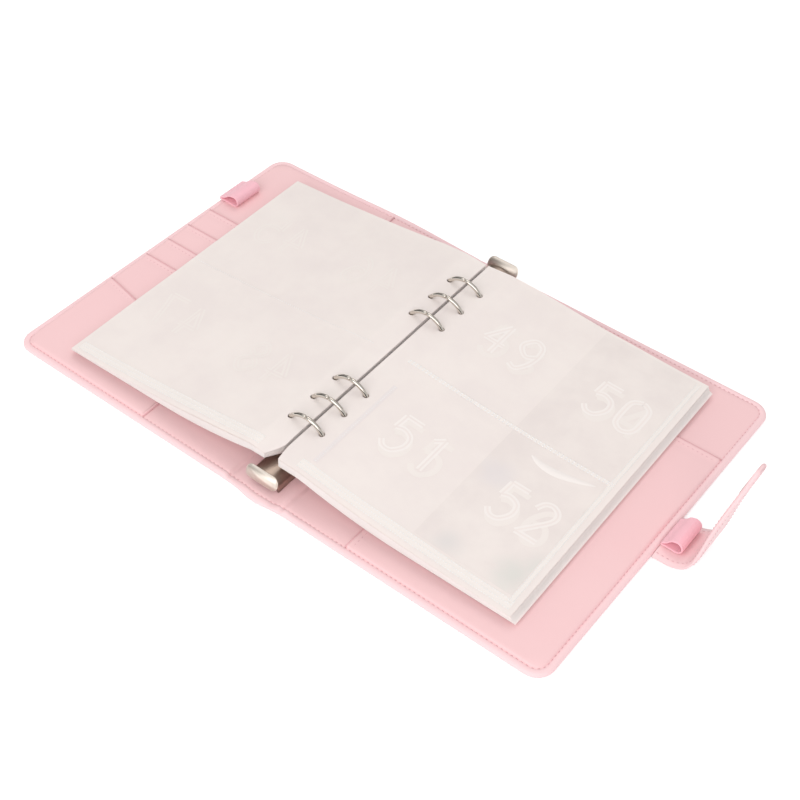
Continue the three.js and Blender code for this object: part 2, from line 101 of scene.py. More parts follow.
LEVER_THICKNESS = 1.3 * MM
LEVER_ARM_HALF_WIDTH = 8.2 * MM
LEVER_ARM_LENGTH = 7 * MM
PAGE_INNER_X = 1.0 * MM
PAGE_OUTER_X = 155 * MM
PAGE_HALF_HEIGHT = 102 * MM
PAGE_CENTRE_Y = 1 * MM
PAGE_SKEW = math.radians(1)
STACK_TOP = 20.3 * MM
STACK_ROOT_X = 17 * MM
STACK_ROOT_BOTTOM = 14.2 * MM
STACK_EDGE_TOP = 9.8 * MM
STACK_EDGE_BOTTOM = 6 * MM
PUNCHED_RADIUS = 1.9 * MM
LIP = 0.25 * MM  # how far a sheet's lip stands out at its near and outer edges
POCKET_SEAM_X = 86 * MM  # between a page's inner and outer pockets
OUTER_SEAM_X = 150 * MM
ROOT_SEAM_X = 19 * MM
FOOT_START_X = 13 * MM
FOOT_END_X = 151 * MM
STRAP_WIDTH = 33 * MM
STRAP_THICKNESS = 2.6 * MM
STRAP_Y = -0.5 * MM
STRAP_TAPER_START = 46 * MM
STRAP_ROOT = (188.1, 1.5)
STRAP_RISE = [
    (9, 0), (14.2, 1.5), (18.8, 5), (21.8, 11), (23.8, 20), (26.6, 36), (30.2, 53), (34, 69), (37.4, 84.5)]
UP = Vector((0, 0, 1))

# Round the cover's edge: inset and height in millimetres, and the share of the inside's relief
SKIN_LEVELS = [
    (4.4, 2.35, 1), (4.0, 2.65, 1), (3.4, 2.95, 1), (2.5, 3.15, 1), (1.6, 3.1, 1), (0.8, 2.8, 0.6),
    (0.25, 2.2, 0.3), (0, 1.5, 0), (0.2, 0.7, 0), (0.8, 0.15, 0), (2, 0, 0), (6, 0, 0), (12, 0, 0)]
LINING_LEVELS = [
    (3.6, 2.35, 1), (4.0, 2.65, 1), (4.6, 2.9, 1), (5.6, 3.0, 1), (8, 3.0, 1), (12, 3.0, 1)]


# Colours and nodes


def linear(value):
    """An sRGB hex colour as linear red, green, blue and alpha."""
    channels = [int(value[index:index + 2], 16) / 255 for index in (1, 3, 5)]
    return tuple(c / 12.92 if c <= 0.04045 else ((c + 0.055) / 1.055) ** 2.4 for c in channels) + (1.0,)


def add_node(tree, kind, links=(), **settings):
    """One node with its settings; links are (input, source socket) pairs."""
    node = tree.nodes.new(kind)
    for name, value in settings.items():
        if name in node.inputs:
            node.inputs[name].default_value = value
        else:
            setattr(node, name, value)
    for name, source in links:
        tree.links.new(node.inputs[name], source)
    return node


def new_material(name, base, **sockets):
    """A material with its surface shader, whose even values are set on the shader's own sockets."""
    material = bpy.data.materials.new(name)
    material.use_nodes = True
    shader = material.node_tree.nodes["Principled BSDF"]
    shader.inputs["Base Color"].default_value = linear(base)
    for socket, value in sockets.items():
        shader.inputs[socket.replace("_", " ").title().replace("Ior", "IOR")].default_value = value
    return material, material.node_tree, shader


def object_millimetres(tree):
    """Object coordinates in millimetres."""
    place = add_node(tree, "ShaderNodeTexCoord")
    scaled = add_node(tree, "ShaderNodeVectorMath", [(0, place.outputs["Object"])], operation="SCALE")
    scaled.inputs["Scale"].default_value = 1000.0
    return scaled.outputs[0]


def tone_between(tree, factor, base, shade):
    """A colour that goes from the base to its shade by a factor."""
    tone = add_node(tree, "ShaderNodeMix", [("Factor", factor)], data_type="RGBA")
    tone.inputs["A"].default_value = linear(base)
    tone.inputs["B"].default_value = linear(shade)
    return tone.outputs["Result"]


def map_range(tree, source, ends, kind="LINEAR"):
    """A value carried from one range to another; ends are from low, from high, to low and to high."""
    node = add_node(tree, "ShaderNodeMapRange", [("Value", source)], interpolation_type=kind)
    for socket, end in zip(("From Min", "From Max", "To Min", "To Max"), ends):
        node.inputs[socket].default_value = end
    return node.outputs["Result"]


def raise_grain(tree, shader, height, strength, distance):
    """A fine relief on the surface, from a pattern's height; the distance is in metres."""
    raised = add_node(tree, "ShaderNodeBump", [("Height", height)], Strength=strength, Distance=distance)
    tree.links.new(shader.inputs["Normal"], raised.outputs["Normal"])


def leathercloth(name, base, shade):
    """PU-coated cloth, embossed with a pebble grain: a soft gloss and slow changes of tone."""
    material, tree, shader = new_material(name, base, roughness=0.48, specular_ior_level=0.35)
    place = object_millimetres(tree)
    grain = add_node(tree, "ShaderNodeTexVoronoi", [("Vector", place)], feature="SMOOTH_F1", Scale=1.1)
    cloudy = add_node(tree, "ShaderNodeTexNoise", [("Vector", place)], Scale=0.02, Detail=3.0)
    colour = tone_between(tree, cloudy.outputs["Fac"], base, shade)
    tree.links.new(shader.inputs["Base Color"], colour)
    raise_grain(tree, shader, grain.outputs["Distance"], 0.12, 0.00012)
    return material


def woven_elastic(name, base):
    """Rubber-cored elastic webbing: matt, with ribs of covered rubber every 0.9 mm along the band."""
    material, tree, shader = new_material(name, base, roughness=0.8, sheen_weight=0.25)
    place = object_millimetres(tree)
    rib = add_node(
        tree, "ShaderNodeTexWave", [("Vector", place)], bands_direction="Y", Scale=0.35, Distortion=0.3)
    raise_grain(tree, shader, rib.outputs["Fac"], 0.35, 0.0001)
    return material


def nickel_plate(name, base, roughness, line_strength):
    """Nickel-plated steel: a warm grey mirror, or satin where the strip was brushed along its length."""
    material, tree, shader = new_material(name, base, roughness=roughness, metallic=1.0)
    place = object_millimetres(tree)
    stretched = add_node(tree, "ShaderNodeVectorMath", [(0, place)], operation="MULTIPLY")
    stretched.inputs[1].default_value = (6.0, 0.12, 6.0)
    lines = add_node(tree, "ShaderNodeTexNoise", [("Vector", stretched.outputs[0])], Scale=1.0, Detail=2.0)
    raise_grain(tree, shader, lines.outputs["Fac"], line_strength, 2e-5)
    return material


def frosted_film(name, base, shade, passing=0.1, patches=()):
    """Frosted polypropylene film: milky, with faint clouds where the layers below touch it."""
    material, tree, shader = new_material(name, base, roughness=0.42, specular_ior_level=0.4)
    place = object_millimetres(tree)
    cloudy = add_node(
        tree, "ShaderNodeTexNoise", [("Vector", place)], Scale=0.035, Detail=4.0, Roughness=0.6)
    blotches = map_range(tree, cloudy.outputs["Fac"], (0.28, 0.72, 0.0, 1.0), "SMOOTHSTEP")
    colour = tone_between(tree, blotches, base, shade)
    for centre, reach, tint in patches:
        away = add_node(tree, "ShaderNodeVectorMath", [(0, place)], operation="DISTANCE")
        away.inputs[1].default_value = centre
        wavy = add_node(tree, "ShaderNodeMath", [(0, cloudy.outputs["Fac"])], operation="MULTIPLY_ADD")
        wavy.inputs[1].default_value = reach * 2
        tree.links.new(wavy.inputs[2], away.outputs["Value"])
        near = map_range(tree, wavy.outputs[0], (reach * 1.2, reach * 2.3, 0.55, 0.0), "SMOOTHSTEP")
        patch = add_node(tree, "ShaderNodeMix", [("Factor", near), ("A", colour)], data_type="RGBA")
        patch.inputs["B"].default_value = linear(tint)
        colour = patch.outputs["Result"]
    tree.links.new(shader.inputs["Base Color"], colour)
    frost = add_node(tree, "ShaderNodeTexNoise", [("Vector", place)], Scale=1.8, Detail=2.0)
    raise_grain(tree, shader, frost.outputs["Fac"], 0.08, 5e-5)
    through = add_node(tree, "ShaderNodeBsdfTranslucent", [("Color", colour)])
    both = add_node(
        tree, "ShaderNodeMixShader", [(1, shader.outputs[0]), (2, through.outputs[0])], Fac=passing)
    tree.links.new(tree.nodes["Material Output"].inputs["Surface"], both.outputs[0])
    return material


def polyester_thread(name, base):
    """Spun polyester sewing thread: matt, twisted, a little darker than the cover."""
    material, tree, shader = new_material(name, base, roughness=0.75)
    place = object_millimetres(tree)
    twist = add_node(tree, "ShaderNodeTexWave", [("Vector", place)], bands_direction="DIAGONAL", Scale=1.2)
    raise_grain(tree, shader, twist.outputs["Fac"], 0.3, 5e-5)
    return material


# Soft spots where something shows through the right outer pockets: centre and reach in mm, and colour
FILM_PATCHES = (
    ((143, -78, 10), 12, "#dde1da"), ((150, -66, 10), 9, "#e0e3dd"),
    ((104, -84, 13), 9, "#e4e2e0"), ((96, -30, 14), 12, "#e9e3e4"))

MATERIALS = {}


def material(name):
    """Each finish is made once, when the first piece needs it."""
    if name not in MATERIALS:
        cover = bpy.context.scene.wallet_cover
        pages = bpy.context.scene.wallet_pages
        metal = bpy.context.scene.wallet_metal
        makers = {
            "skin": lambda: leathercloth("Embossed leathercloth skin", cover.skin, cover.skin_shade),
            "lining": lambda: leathercloth(
                "Embossed leathercloth lining", cover.lining, cover.lining_shade),
            "thread": lambda: polyester_thread("Spun polyester thread", cover.thread),
            "elastic": lambda: woven_elastic("Woven elastic", cover.elastic),
            # The housing's nickel is a darker, browner copy (painted shade); the levers' is a light cream
            # copy (painted light).
            "housing": lambda: nickel_plate("Satin nickel plate", metal.satin, 0.36, 0.25),
            "lever": lambda: nickel_plate("Satin nickel plate of the levers", metal.lever, 0.5, 0.1),
            "ring": lambda: nickel_plate("Bright nickel plate", metal.bright, 0.06, 0.03),
            "film": lambda: frosted_film("Frosted polypropylene film", pages.film, pages.film_shade),
            # The lower sheets are a lighter copy of the film: painted light on the stack's sides, beside the
            # real translucency.
            "lower_film_painted_light": lambda: frosted_film(
                "Frosted polypropylene lower sheet", pages.edge, pages.edge, 0.25),
            # The rolled edges' darker tone is painted shade, the shadow line at each opening.
            "edge": lambda: leathercloth("Leathercloth edge in painted shade", cover.crease, cover.crease),
            "pocket": lambda: frosted_film(
                "Frosted polypropylene pocket", pages.pocket, pages.pocket_shade, patches=FILM_PATCHES),
            "weld": lambda: frosted_film("Heat-pressed weld", pages.weld, pages.weld),
            "print": lambda: frosted_film("Matt white page print", pages.printed, pages.printed),
            "faint": lambda: frosted_film("Print seen through film", pages.faint, pages.faint),
            "band": lambda: frosted_film("Film pressed flat", pages.band, pages.band),
            "seam": lambda: frosted_film("Film pressed clear at the root", pages.seam, pages.seam),
        }
        MATERIALS[name] = makers[name]()
    return MATERIALS[name]


# Mesh helpers


def linked(name, data):
    """A new object of the scene, made of the data."""
    made = bpy.data.objects.new(name, data)
    bpy.context.scene.collection.objects.link(made)
    return made


def mesh_object(name, vertices, faces, finish, smooth=True):
    """A mesh object from points and faces, with one finish."""
    mesh = bpy.data.meshes.new(name)
    mesh.from_pydata(vertices, [], faces)
    mesh.validate()
    made = bmesh.new()
    made.from_mesh(mesh)
    bmesh.ops.recalc_face_normals(made, faces=made.faces)
    made.to_mesh(mesh)
    made.free()
    mesh.materials.append(material(finish))
    if smooth:
        mesh.shade_smooth()
    return linked(name, mesh)


def refinish(node, finish):
    """A solid of the frame keeps its shape and gets a better material."""
    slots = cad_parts[node].data.materials
    slots.clear()
    slots.append(material(finish))


def spread(low, high, step):
    """Even values from low to high, about a step apart."""
    count = max(1, round(abs(high - low) / step))
    return [low + (high - low) * index / count for index in range(count + 1)]


def quads(columns, rows, closed=False):
    """Faces of a grid whose points run row by row."""
    faces = []
    for row in range(rows - 1):
        for column in range(columns if closed else columns - 1):
            after = (column + 1) % columns
            here, above = row * columns, (row + 1) * columns
            faces.append((here + column, here + after, above + after, above + column))
    return faces


def capped(columns, rows):
    """Faces of a closed row of rings of points, with a cap at either end."""
    last = (rows - 1) * columns
    return quads(columns, rows, closed=True) + [tuple(range(columns)), tuple(range(last, last + columns))]


def heading(path, index):
    """The direction of a path at one of its points."""
    return (path[min(index + 1, len(path) - 1)] - path[max(index - 1, 0)]).normalized()


def smooth_path(points, steps):
    """Catmull-Rom curve through points, as evenly parametrised vectors."""
    points = [Vector(point) for point in points]
    path = []
    for step in range(steps + 1):
        at = step / steps * (len(points) - 1)
        index = min(int(at), len(points) - 2)
        t = at - index
        before = points[max(index - 1, 0)]
        start, end = points[index], points[index + 1]
        after = points[min(index + 2, len(points) - 1)]
        square = 2 * before - 5 * start + 4 * end - after
        cube = 3 * start - before - 3 * end + after
        path.append(0.5 * (2 * start + (end - before) * t + square * t * t + cube * t ** 3))
    return path


def tube(name, path, radii, finish, sides):
    """A round bar along a path that lies in a plane of constant Y."""
    vertices = []
    for index, point in enumerate(path):
        across = Vector((0, 1, 0))
        up = heading(path, index).cross(across)
        for side in range(sides):
            angle = 2 * math.pi * side / sides
            vertices.append(point + radii[index] * (math.cos(angle) * across + math.sin(angle) * up))
    return mesh_object(name, vertices, capped(sides, len(path)), finish)


def stitches(name, path, up, pitch, length=STITCH_LENGTH, width=STITCH_WIDTH, finish="thread"):
    """Separate short stitches along a path of points, each a slim bead standing a little proud."""
    vertices, faces = [], []
    lengths = [0.0]
    for start, end in zip(path, path[1:]):
        lengths.append(lengths[-1] + (end - start).length)

    def point_at(distance):
        distance = min(max(distance, 0.0), lengths[-1] - 1e-9)
        index = max(i for i, value in enumerate(lengths[:-1]) if value <= distance)
        share = (distance - lengths[index]) / max(lengths[index + 1] - lengths[index], 1e-9)
        return path[index].lerp(path[index + 1], share)

    count = int(lengths[-1] / pitch)
    for number in range(count):
        middle = (number + 0.5) * lengths[-1] / count
        start, end = point_at(middle - length / 2), point_at(middle + length / 2)
        along = (end - start).normalized()
        side = along.cross(up).normalized() * width
        lift = up * width
        base = len(vertices)
        vertices.append(start - lift * 0.6)
        for share, size in ((0.2, 0.9), (0.8, 0.9)):
            centre = start.lerp(end, share)
            for away in (side, lift, -side, -lift):
                vertices.append(centre + away * size)
        vertices.append(end - lift * 0.6)
        for corner in range(4):
            after = (corner + 1) % 4
            faces.append((base, base + 1 + corner, base + 1 + after))
            faces.append((base + 1 + corner, base + 5 + corner, base + 5 + after, base + 1 + after))
            faces.append((base + 9, base + 5 + after, base + 5 + corner))
    return mesh_object(name, vertices, faces, finish)


def sewn_line(name, path, up=UP):
    """Thread stitches along a path, at the pitch that the user has set."""
    return stitches(name, path, up, bpy.context.scene.wallet_cover.stitch_pitch)


def swell(x, y, size, seed):
    """A slow random rise and fall, between about -1 and 1."""
    return noise.noise(Vector((x / size, y / size, seed)))


# Cover panels


def hump(value, middle, width):
    """A smooth hump: 1 at the middle and about a third at one width from it."""
    return math.exp(-((value - middle) / width) ** 2)


def cover_relief(x, y):
    """How the cover's inside rises and falls: folds and puckers beside the spine, and a slow swell."""
    fold = -0.9 * MM * hump(abs(x), HINGE_X, 1.3 * MM)
    near = min(1, max(0, (-82 * MM - y) / (20 * MM)))
    pucker = 0.9 * MM * near * math.sin((x * 0.9 + y * 0.5) / (3.4 * MM)) * hump(abs(x), 16 * MM, 7 * MM)
    crease = -0.35 * MM * hump(x, 12.5 * MM, 1.0 * MM)
    return fold + crease + pucker + 0.3 * MM * swell(x, y, 55 * MM, 3.0)


def far_lift(x, y):
    """The front cover's far edge curls up a little from the table."""
    share = min(1, max(0, (y - 84 * MM) / (34 * MM)))
    return 2.4 * MM * share * share * hump(x, -78 * MM, 44 * MM)


def near_bulge(x, y):
    """How far the soft near edge is pushed out beside the ring mechanism."""
    share = min(1, max(0, (FRONT_LOW.y + 22 * MM - y) / (22 * MM)))
    return -2.2 * MM * hump(x, 2 * MM, 11 * MM) * share * share


def cover_point(x, y, height, share):
    """A point of the cover, moved by a share of its relief and by the soft edges' bulge and lift."""
    return (x, y + near_bulge(x, y), height + far_lift(x, y) + share * cover_relief(x, y))


def panel_mesh(name, edge_x, levels, finish):
    """Half of the open cover, from the spine's middle to one outer edge: open loops at the levels' insets
    and heights, closed by a grid whose outline is the last inset."""
    levels = [(depth * MM, height * MM, share) for depth, height, share in levels]
    inset = levels[-1][0]
    side = 1 if edge_x > 0 else -1
    low_y, high_y = FRONT_LOW.y, FRONT_HIGH.y
    fold_band = [side * x for x in spread(14 * MM, 24 * MM, 0.8 * MM)]
    columns = [side * x for x in spread(0, 12 * MM, 3 * MM)] + fold_band
    columns += spread(side * 28 * MM, edge_x - side * inset, 7 * MM)
    rows = spread(low_y + inset, high_y - inset, 7 * MM)
    arc = 8
    angles = [math.pi / 2 * step / arc for step in range(arc + 1)]

    def loop(depth):
        reach = max(CORNER_RADIUS, depth)
        radius = max(CORNER_RADIUS - depth, 0)
        centre_x = edge_x - side * reach
        points = [(x, low_y + depth) for x in columns]
        for angle in angles:
            x = centre_x + side * radius * math.sin(angle)
            points.append((x, low_y + reach - radius * math.cos(angle)))
        points += [(edge_x - side * depth, y) for y in rows]
        for angle in angles:
            x = centre_x + side * radius * math.cos(angle)
            points.append((x, high_y - reach + radius * math.sin(angle)))
        return points + [(x, high_y - depth) for x in reversed(columns)]

    vertices = []
    for depth, height, share in levels:
        vertices += [cover_point(x, y, height, share) for x, y in loop(depth)]
    count = len(loop(0))
    faces = quads(count, len(levels))
    grid_start = len(vertices)
    height, share = levels[-1][1], levels[-1][2]
    for y in rows:
        vertices += [cover_point(x, y, height, share) for x in columns]
    width = len(columns)
    faces += [tuple(grid_start + corner for corner in face) for face in quads(width, len(rows))]
    last = (len(levels) - 1) * count
    corner_low = grid_start + width - 1
    corner_high = grid_start + len(rows) * width - 1
    border = [grid_start + index for index in range(width)] + [corner_low] * (arc + 1)
    border += [corner_low + index * width for index in range(len(rows))] + [corner_high] * (arc + 1)
    border += [corner_high - index for index in range(width)]
    for index in range(count - 1):
        face = [last + index, last + index + 1, border[index + 1], border[index]]
        faces.append(tuple(dict.fromkeys(face)))
    panel = mesh_object(name, vertices, faces, finish)
    made = bmesh.new()
    made.from_mesh(panel.data)
    bmesh.ops.remove_doubles(made, verts=made.verts, dist=0.01 * MM)
    bmesh.ops.recalc_face_normals(made, faces=made.faces)
    made.to_mesh(panel.data)
    made.free()
    panel.data.shade_smooth()
    return panel


def bend_with(piece):
    """The piece's transform is baked into its mesh."""
    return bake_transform(piece)


def border_path(edge_x, depth, height):
    """The stitch line round one half of the cover, at a depth inside its edge."""
    side = 1 if edge_x > 0 else -1
    radius = CORNER_RADIUS - depth
    low_y, high_y = FRONT_LOW.y + depth, FRONT_HIGH.y - depth
    outer_x = edge_x - side * depth
    angles = [math.pi / 2 * step / 8 for step in range(1, 9)]
    points = [Vector((x, low_y, height)) for x in spread(0, outer_x - side * radius, 4 * MM)]
    for angle in angles:
        x = outer_x - side * radius * (1 - math.sin(angle))
        points.append(Vector((x, low_y + radius * (1 - math.cos(angle)), height)))
    points += [Vector((outer_x, y, height)) for y in spread(low_y + radius, high_y - radius, 4 * MM)[1:]]
    for angle in angles:
        x = outer_x - side * radius * (1 - math.cos(angle))
        points.append(Vector((x, high_y - radius * (1 - math.sin(angle)), height)))
    points += [Vector((x, high_y, height)) for x in spread(outer_x - side * radius, 0, 4 * MM)[1:]]
    for point in points:
        point.z += 0.8 * cover_relief(point.x, point.y) + far_lift(point.x, point.y)
        point.y += near_bulge(point.x, point.y)
    return points


def build_cover_half(cover, edge_x):
    """Skin, lining and stitching of the spine's half and one cover."""
    prefix = cover.split("_")[0]
    skin = panel_mesh(f"{prefix}_skin_half", edge_x, SKIN_LEVELS, "skin")
    lining = panel_mesh(f"{prefix}_lining_half", edge_x, LINING_LEVELS, "lining")
    path = border_path(edge_x, BORDER, 2.85 * MM)
    seam = sewn_line(f"{prefix}_border_stitching", path)
    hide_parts(cover, "spine_cover")
    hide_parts(f"{prefix}_lining", "spine_lining")
    for piece in (skin, lining, seam):
        bend_with(piece)


# Pockets


def sewn_sheet(name, xs, ys, height, corners):
    """A sheet on a grid, with height(x, y), whose corners are drawn in to the cover's round ones."""
    vertices = []
    for y in ys:
        for x in xs:
            point = Vector((x, y, 0))
            for centre, radius, side_x, side_y in corners:
                away = Vector((x - centre[0], y - centre[1], 0))
                if away.x * side_x > 0 and away.y * side_y > 0 and away.length > radius:
                    point = Vector((centre[0], centre[1], 0)) + away.normalized() * radius
            vertices.append((point.x, point.y, height(point.x, point.y)))
    return mesh_object(name, vertices, quads(len(xs), len(ys)), "lining")


def dense(low, high, step, low_edge, high_edge):
    """Grid values, with extra ones close to the ends that are turned or sewn."""
    near = [0, 0.12 * MM, 0.3 * MM, 0.6 * MM, 1.0 * MM, 1.6 * MM]
    inner_low = low + 3 * MM if low_edge else low
    inner_high = high - 3 * MM if high_edge else high
    values = spread(inner_low, inner_high, step)
    if low_edge:
        values = [low + value for value in near] + values
    if high_edge:
        values = values + [high - value for value in reversed(near)]
    return values


def edge_drop(distance, drop, width=0.7 * MM):
    """How far a sheet has turned down at a distance from its open or sewn edge."""
    return -drop * max(0.0, 1 - max(distance, 0) / width) ** 2


def corner_distance(x, y, corners):
    """How far inside the rounded corners a point is; far where no corner is near."""
    distance = 1.0
    for centre, radius, side_x, side_y in corners:
        away_x, away_y = (x - centre[0]) * side_x, (y - centre[1]) * side_y
        if away_x > 0 and away_y > 0:
            distance = min(distance, radius - math.hypot(away_x, away_y))
    return distance


def open_edge_welt(distance):
    """The turned edge's soft welt and the dimple along its stitch line."""
    return 0.18 * MM * hump(distance, 1.5 * MM, 1.0 * MM) - 0.3 * MM * hump(distance, SEAM_INSET, 0.5 * MM)


def shaded_edge_roll(name, path, body):
    """The rolled edge along a pocket's opening, in a darker tone: painted shade along the opening."""
    vertices = []
    for index, point in enumerate(path):
        side = heading(path, index).cross(UP).normalized()
        for step in range(8):
            angle = 2 * math.pi * step / 8
            upward = 0.8 * math.sin(angle) * UP
            vertices.append(point + EDGE_ROLL * (math.cos(angle) * side + upward))
    # The roll's darker tone is painted shade along the opening.
    roll = mesh_object(name, vertices, capped(8, len(path)), "edge")
    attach(roll, body)


def build_left_pocket():
    """The front cover's large pocket panel with its stitched inner edge."""
    outer_x, inner_x = FRONT_EDGE_X + BORDER, LEFT_POCKET_HIGH.x
    low_y, high_y = FRONT_LOW.y + BORDER, FRONT_HIGH.y - BORDER
    radius = CORNER_RADIUS - BORDER

    def height(x, y):
        sewn = min(x - outer_x, y - low_y, high_y - y, corner_distance(x, y, corners))
        opened = inner_x - x
        z = POCKET_Z + edge_drop(sewn, SEWN_DROP, SEWN_WIDTH) + edge_drop(opened, OPEN_DROP)
        z += open_edge_welt(opened)
        z += far_lift(x, y)
        return z + 0.25 * MM * (1 + swell(x, y, 40 * MM, 9.0)) * min(1, opened / (30 * MM))

    corners = [
        ((outer_x + radius, low_y + radius), radius, -1, -1),
        ((outer_x + radius, high_y - radius), radius, -1, 1),
    ]
    xs = dense(outer_x, inner_x, 4 * MM, True, True)
    ys = dense(low_y, high_y, 4 * MM, True, True)
    panel = sewn_sheet("left_pocket_sheet", xs, ys, height, corners)
    seam_x = inner_x - SEAM_INSET
    path = [Vector((seam_x, y, height(seam_x, y) + SEAM_PROUD)) for y in spread(low_y, high_y, 4 * MM)]
    seam = sewn_line("left_pocket_stitching", path)
    for piece in (panel, seam):
        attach(piece, "front_cover")
    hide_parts("left_pocket_panel")
    edge_z = POCKET_Z - EDGE_ROLL
    edge = [Vector((inner_x, y, edge_z + far_lift(inner_x, y))) for y in spread(low_y, high_y, 6 * MM)]
    shaded_edge_roll("left_pocket_edge", edge, "front_cover")


def build_right_pocket():
    """The back cover's pocket panel, open at its inner edge and its top."""
    outer_x, inner_x = BACK_EDGE_X - BORDER, RIGHT_POCKET_LOW.x
    low_y, high_y = BACK_LOW.y + BORDER, RIGHT_POCKET_HIGH.y
    radius = CORNER_RADIUS - BORDER

    def height(x, y):
        sewn = min(outer_x - x, y - low_y, corner_distance(x, y, corners))
        side, top = x - inner_x, high_y - y
        z = POCKET_Z + edge_drop(sewn, SEWN_DROP, SEWN_WIDTH) + edge_drop(min(side, top), OPEN_DROP)
        z += open_edge_welt(side) + open_edge_welt(top)
        return z + 0.25 * MM * (1 + swell(x, y, 40 * MM, 5.0)) * min(1, min(side, top) / (30 * MM))

    corners = [((outer_x - radius, low_y + radius), radius, 1, -1)]
    xs = dense(inner_x, outer_x, 4 * MM, True, True)
    ys = dense(low_y, high_y, 4 * MM, True, True)
    panel = sewn_sheet("right_pocket_sheet", xs, ys, height, corners)
    side_x, top_y = inner_x + SEAM_INSET, high_y - SEAM_INSET
    path = [Vector((side_x, y, height(side_x, y) + SEAM_PROUD)) for y in spread(low_y, top_y, 4 * MM)]
    path += [Vector((x, top_y, height(x, top_y) + SEAM_PROUD)) for x in spread(side_x, outer_x, 4 * MM)[1:]]
    seam = sewn_line("right_pocket_stitching", path)
    for piece in (panel, seam):
        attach(piece, "back_cover")
    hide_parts("right_pocket_panel")
    edge_z = POCKET_Z - EDGE_ROLL
    edge = [Vector((inner_x, y, edge_z)) for y in spread(low_y, high_y, 8 * MM)]
    edge += [Vector((x, high_y, edge_z)) for x in spread(inner_x, outer_x, 8 * MM)[1:]]
    shaded_edge_roll("right_pocket_edge", edge, "back_cover")


def build_card_slots():
    """Five card slots laid like shingles; the lowest has a slanted top edge."""
    left_x, right_x = FRONT_EDGE_X + BORDER, LEFT_POCKET_HIGH.x - 1.2 * MM
    low_y = FRONT_LOW.y + BORDER
    radius = CORNER_RADIUS - BORDER
    corner = [((left_x + radius, low_y + radius), radius, -1, -1)]
    foot_rise = 0.35 * MM
    for index in range(1, 6):
        node = f"card_slot_{index}"
        low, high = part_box(node)
        lowest = index == 5
        slope = 0.2 if lowest else 0.0
        foot_y = max(low.y, low_y)
        rise = high.z - POCKET_Z

        def top_at(x):
            return high.y - slope * (x - left_x)

        def height(x, y):
            share = min(1, max(0, (y - foot_y) / (high.y - foot_y)))
            opened = top_at(x) - y
            z = POCKET_Z + foot_rise + (rise - foot_rise) * share
            z += edge_drop(opened, 0.8 * MM) + open_edge_welt(opened)
            sewn = min(x - left_x, y - low_y, corner_distance(x, y, corner)) if lowest else x - left_x
            return z + edge_drop(sewn, 1.8 * MM, SEWN_WIDTH) + 0.12 * MM * swell(x, y, 22 * MM, index)

        xs = dense(left_x, right_x, 4 * MM, True, False)
        ys = dense(foot_y, high.y, 2.5 * MM, lowest, True)
        sheet = sewn_sheet(f"card_slot_sheet_{index}", xs, ys, lambda x, y: 0.0, corner if lowest else [])
        start_y = low_y + radius if lowest else foot_y
        for vertex in sheet.data.vertices:
            if vertex.co.y > start_y:
                share = (vertex.co.y - start_y) / (high.y - start_y)
                vertex.co.y = start_y + share * (top_at(vertex.co.x) - start_y)
            vertex.co.z = height(vertex.co.x, vertex.co.y)
        path = [Vector((x, top_at(x) - SEAM_INSET, 0)) for x in spread(left_x, right_x, 4 * MM)]
        for point in path:
            point.z = height(point.x, point.y) + SEAM_PROUD
        seam = sewn_line(f"card_slot_stitching_{index}", path)
        for piece in (sheet, seam):
            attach(piece, "front_cover")
        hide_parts(node)
        along = spread(left_x + 0.6 * MM, right_x, 6 * MM)
        edge = [Vector((x, top_at(x), POCKET_Z + rise - 0.3 * MM)) for x in along]
        shaded_edge_roll(f"card_slot_edge_{index}", edge, "front_cover")


# Elastic loops and strap


def build_pen_loop(name, node, body):
    """A doubled band of ribbed elastic that bulges into a teardrop."""
    low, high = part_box(node)
    reach, tall = high.x - low.x, high.z - low.z
    radius = tall / 2
    thick = 0.9 * MM
    centre_x = reach - radius
    outline = [(0, 0.1 * MM), (centre_x * 0.5, 0.25 * MM), (centre_x, 0.02 * MM)]
    for step in range(1, 12):
        angle = -math.pi / 2 + math.pi * step / 12
        outline.append((centre_x + radius * math.cos(angle), radius + radius * math.sin(angle)))
    outline += [
        (centre_x, tall), (centre_x * 0.62, tall * 0.84), (centre_x * 0.34, tall * 0.5), (0, 2.1 * MM)]
    path = smooth_path([(x, 0, z) for x, z in outline], 56)
    columns = spread(low.y, high.y, 0.45 * MM)
    vertices = []
    for shell in (0, 1):
        for index, point in enumerate(path):
            ahead = heading(path, index)
            inward = Vector((-ahead.z, 0, ahead.x))
            for number, y in enumerate(columns):
                rib = 0.05 * MM * (1 if number % 2 else -1)
                rounding = 0.3 * MM if number in (0, len(columns) - 1) else 0
                depth = rounding - rib if shell == 0 else thick - rounding
                place = point + inward * depth
                vertices.append((low.x + place.x, y, low.z + place.z))
    width, rows = len(columns), len(path)
    faces = quads(width, rows)
    faces += [tuple(rows * width + corner for corner in reversed(face)) for face in quads(width, rows)]
    for row in range(rows - 1):
        for column in (0, width - 1):
            outer, inner = row * width + column, rows * width + row * width + column
            faces.append((outer, outer + width, inner + width, inner))
    for row in (0, rows - 1):
        for column in range(width - 1):
            outer, inner = row * width + column, rows * width + row * width + column
            faces.append((outer, outer + 1, inner + 1, inner))
    loop = mesh_object(name, vertices, faces, "elastic")
    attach(loop, body)
    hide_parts(node)


def strap_half_width(z):
    """Half the strap's width at a height: even, then drawn in to its rounded tip."""
    share = min(1, max(0, (z - STRAP_TAPER_START) / (STRAP_HIGH.z - STRAP_TAPER_START)))
    nose = min(1, (1 - share) / 0.2)
    return STRAP_WIDTH / 2 * (1 - 0.6 * share ** 1.2) * max(0.05, 1 - (1 - nose) ** 2) ** 0.5


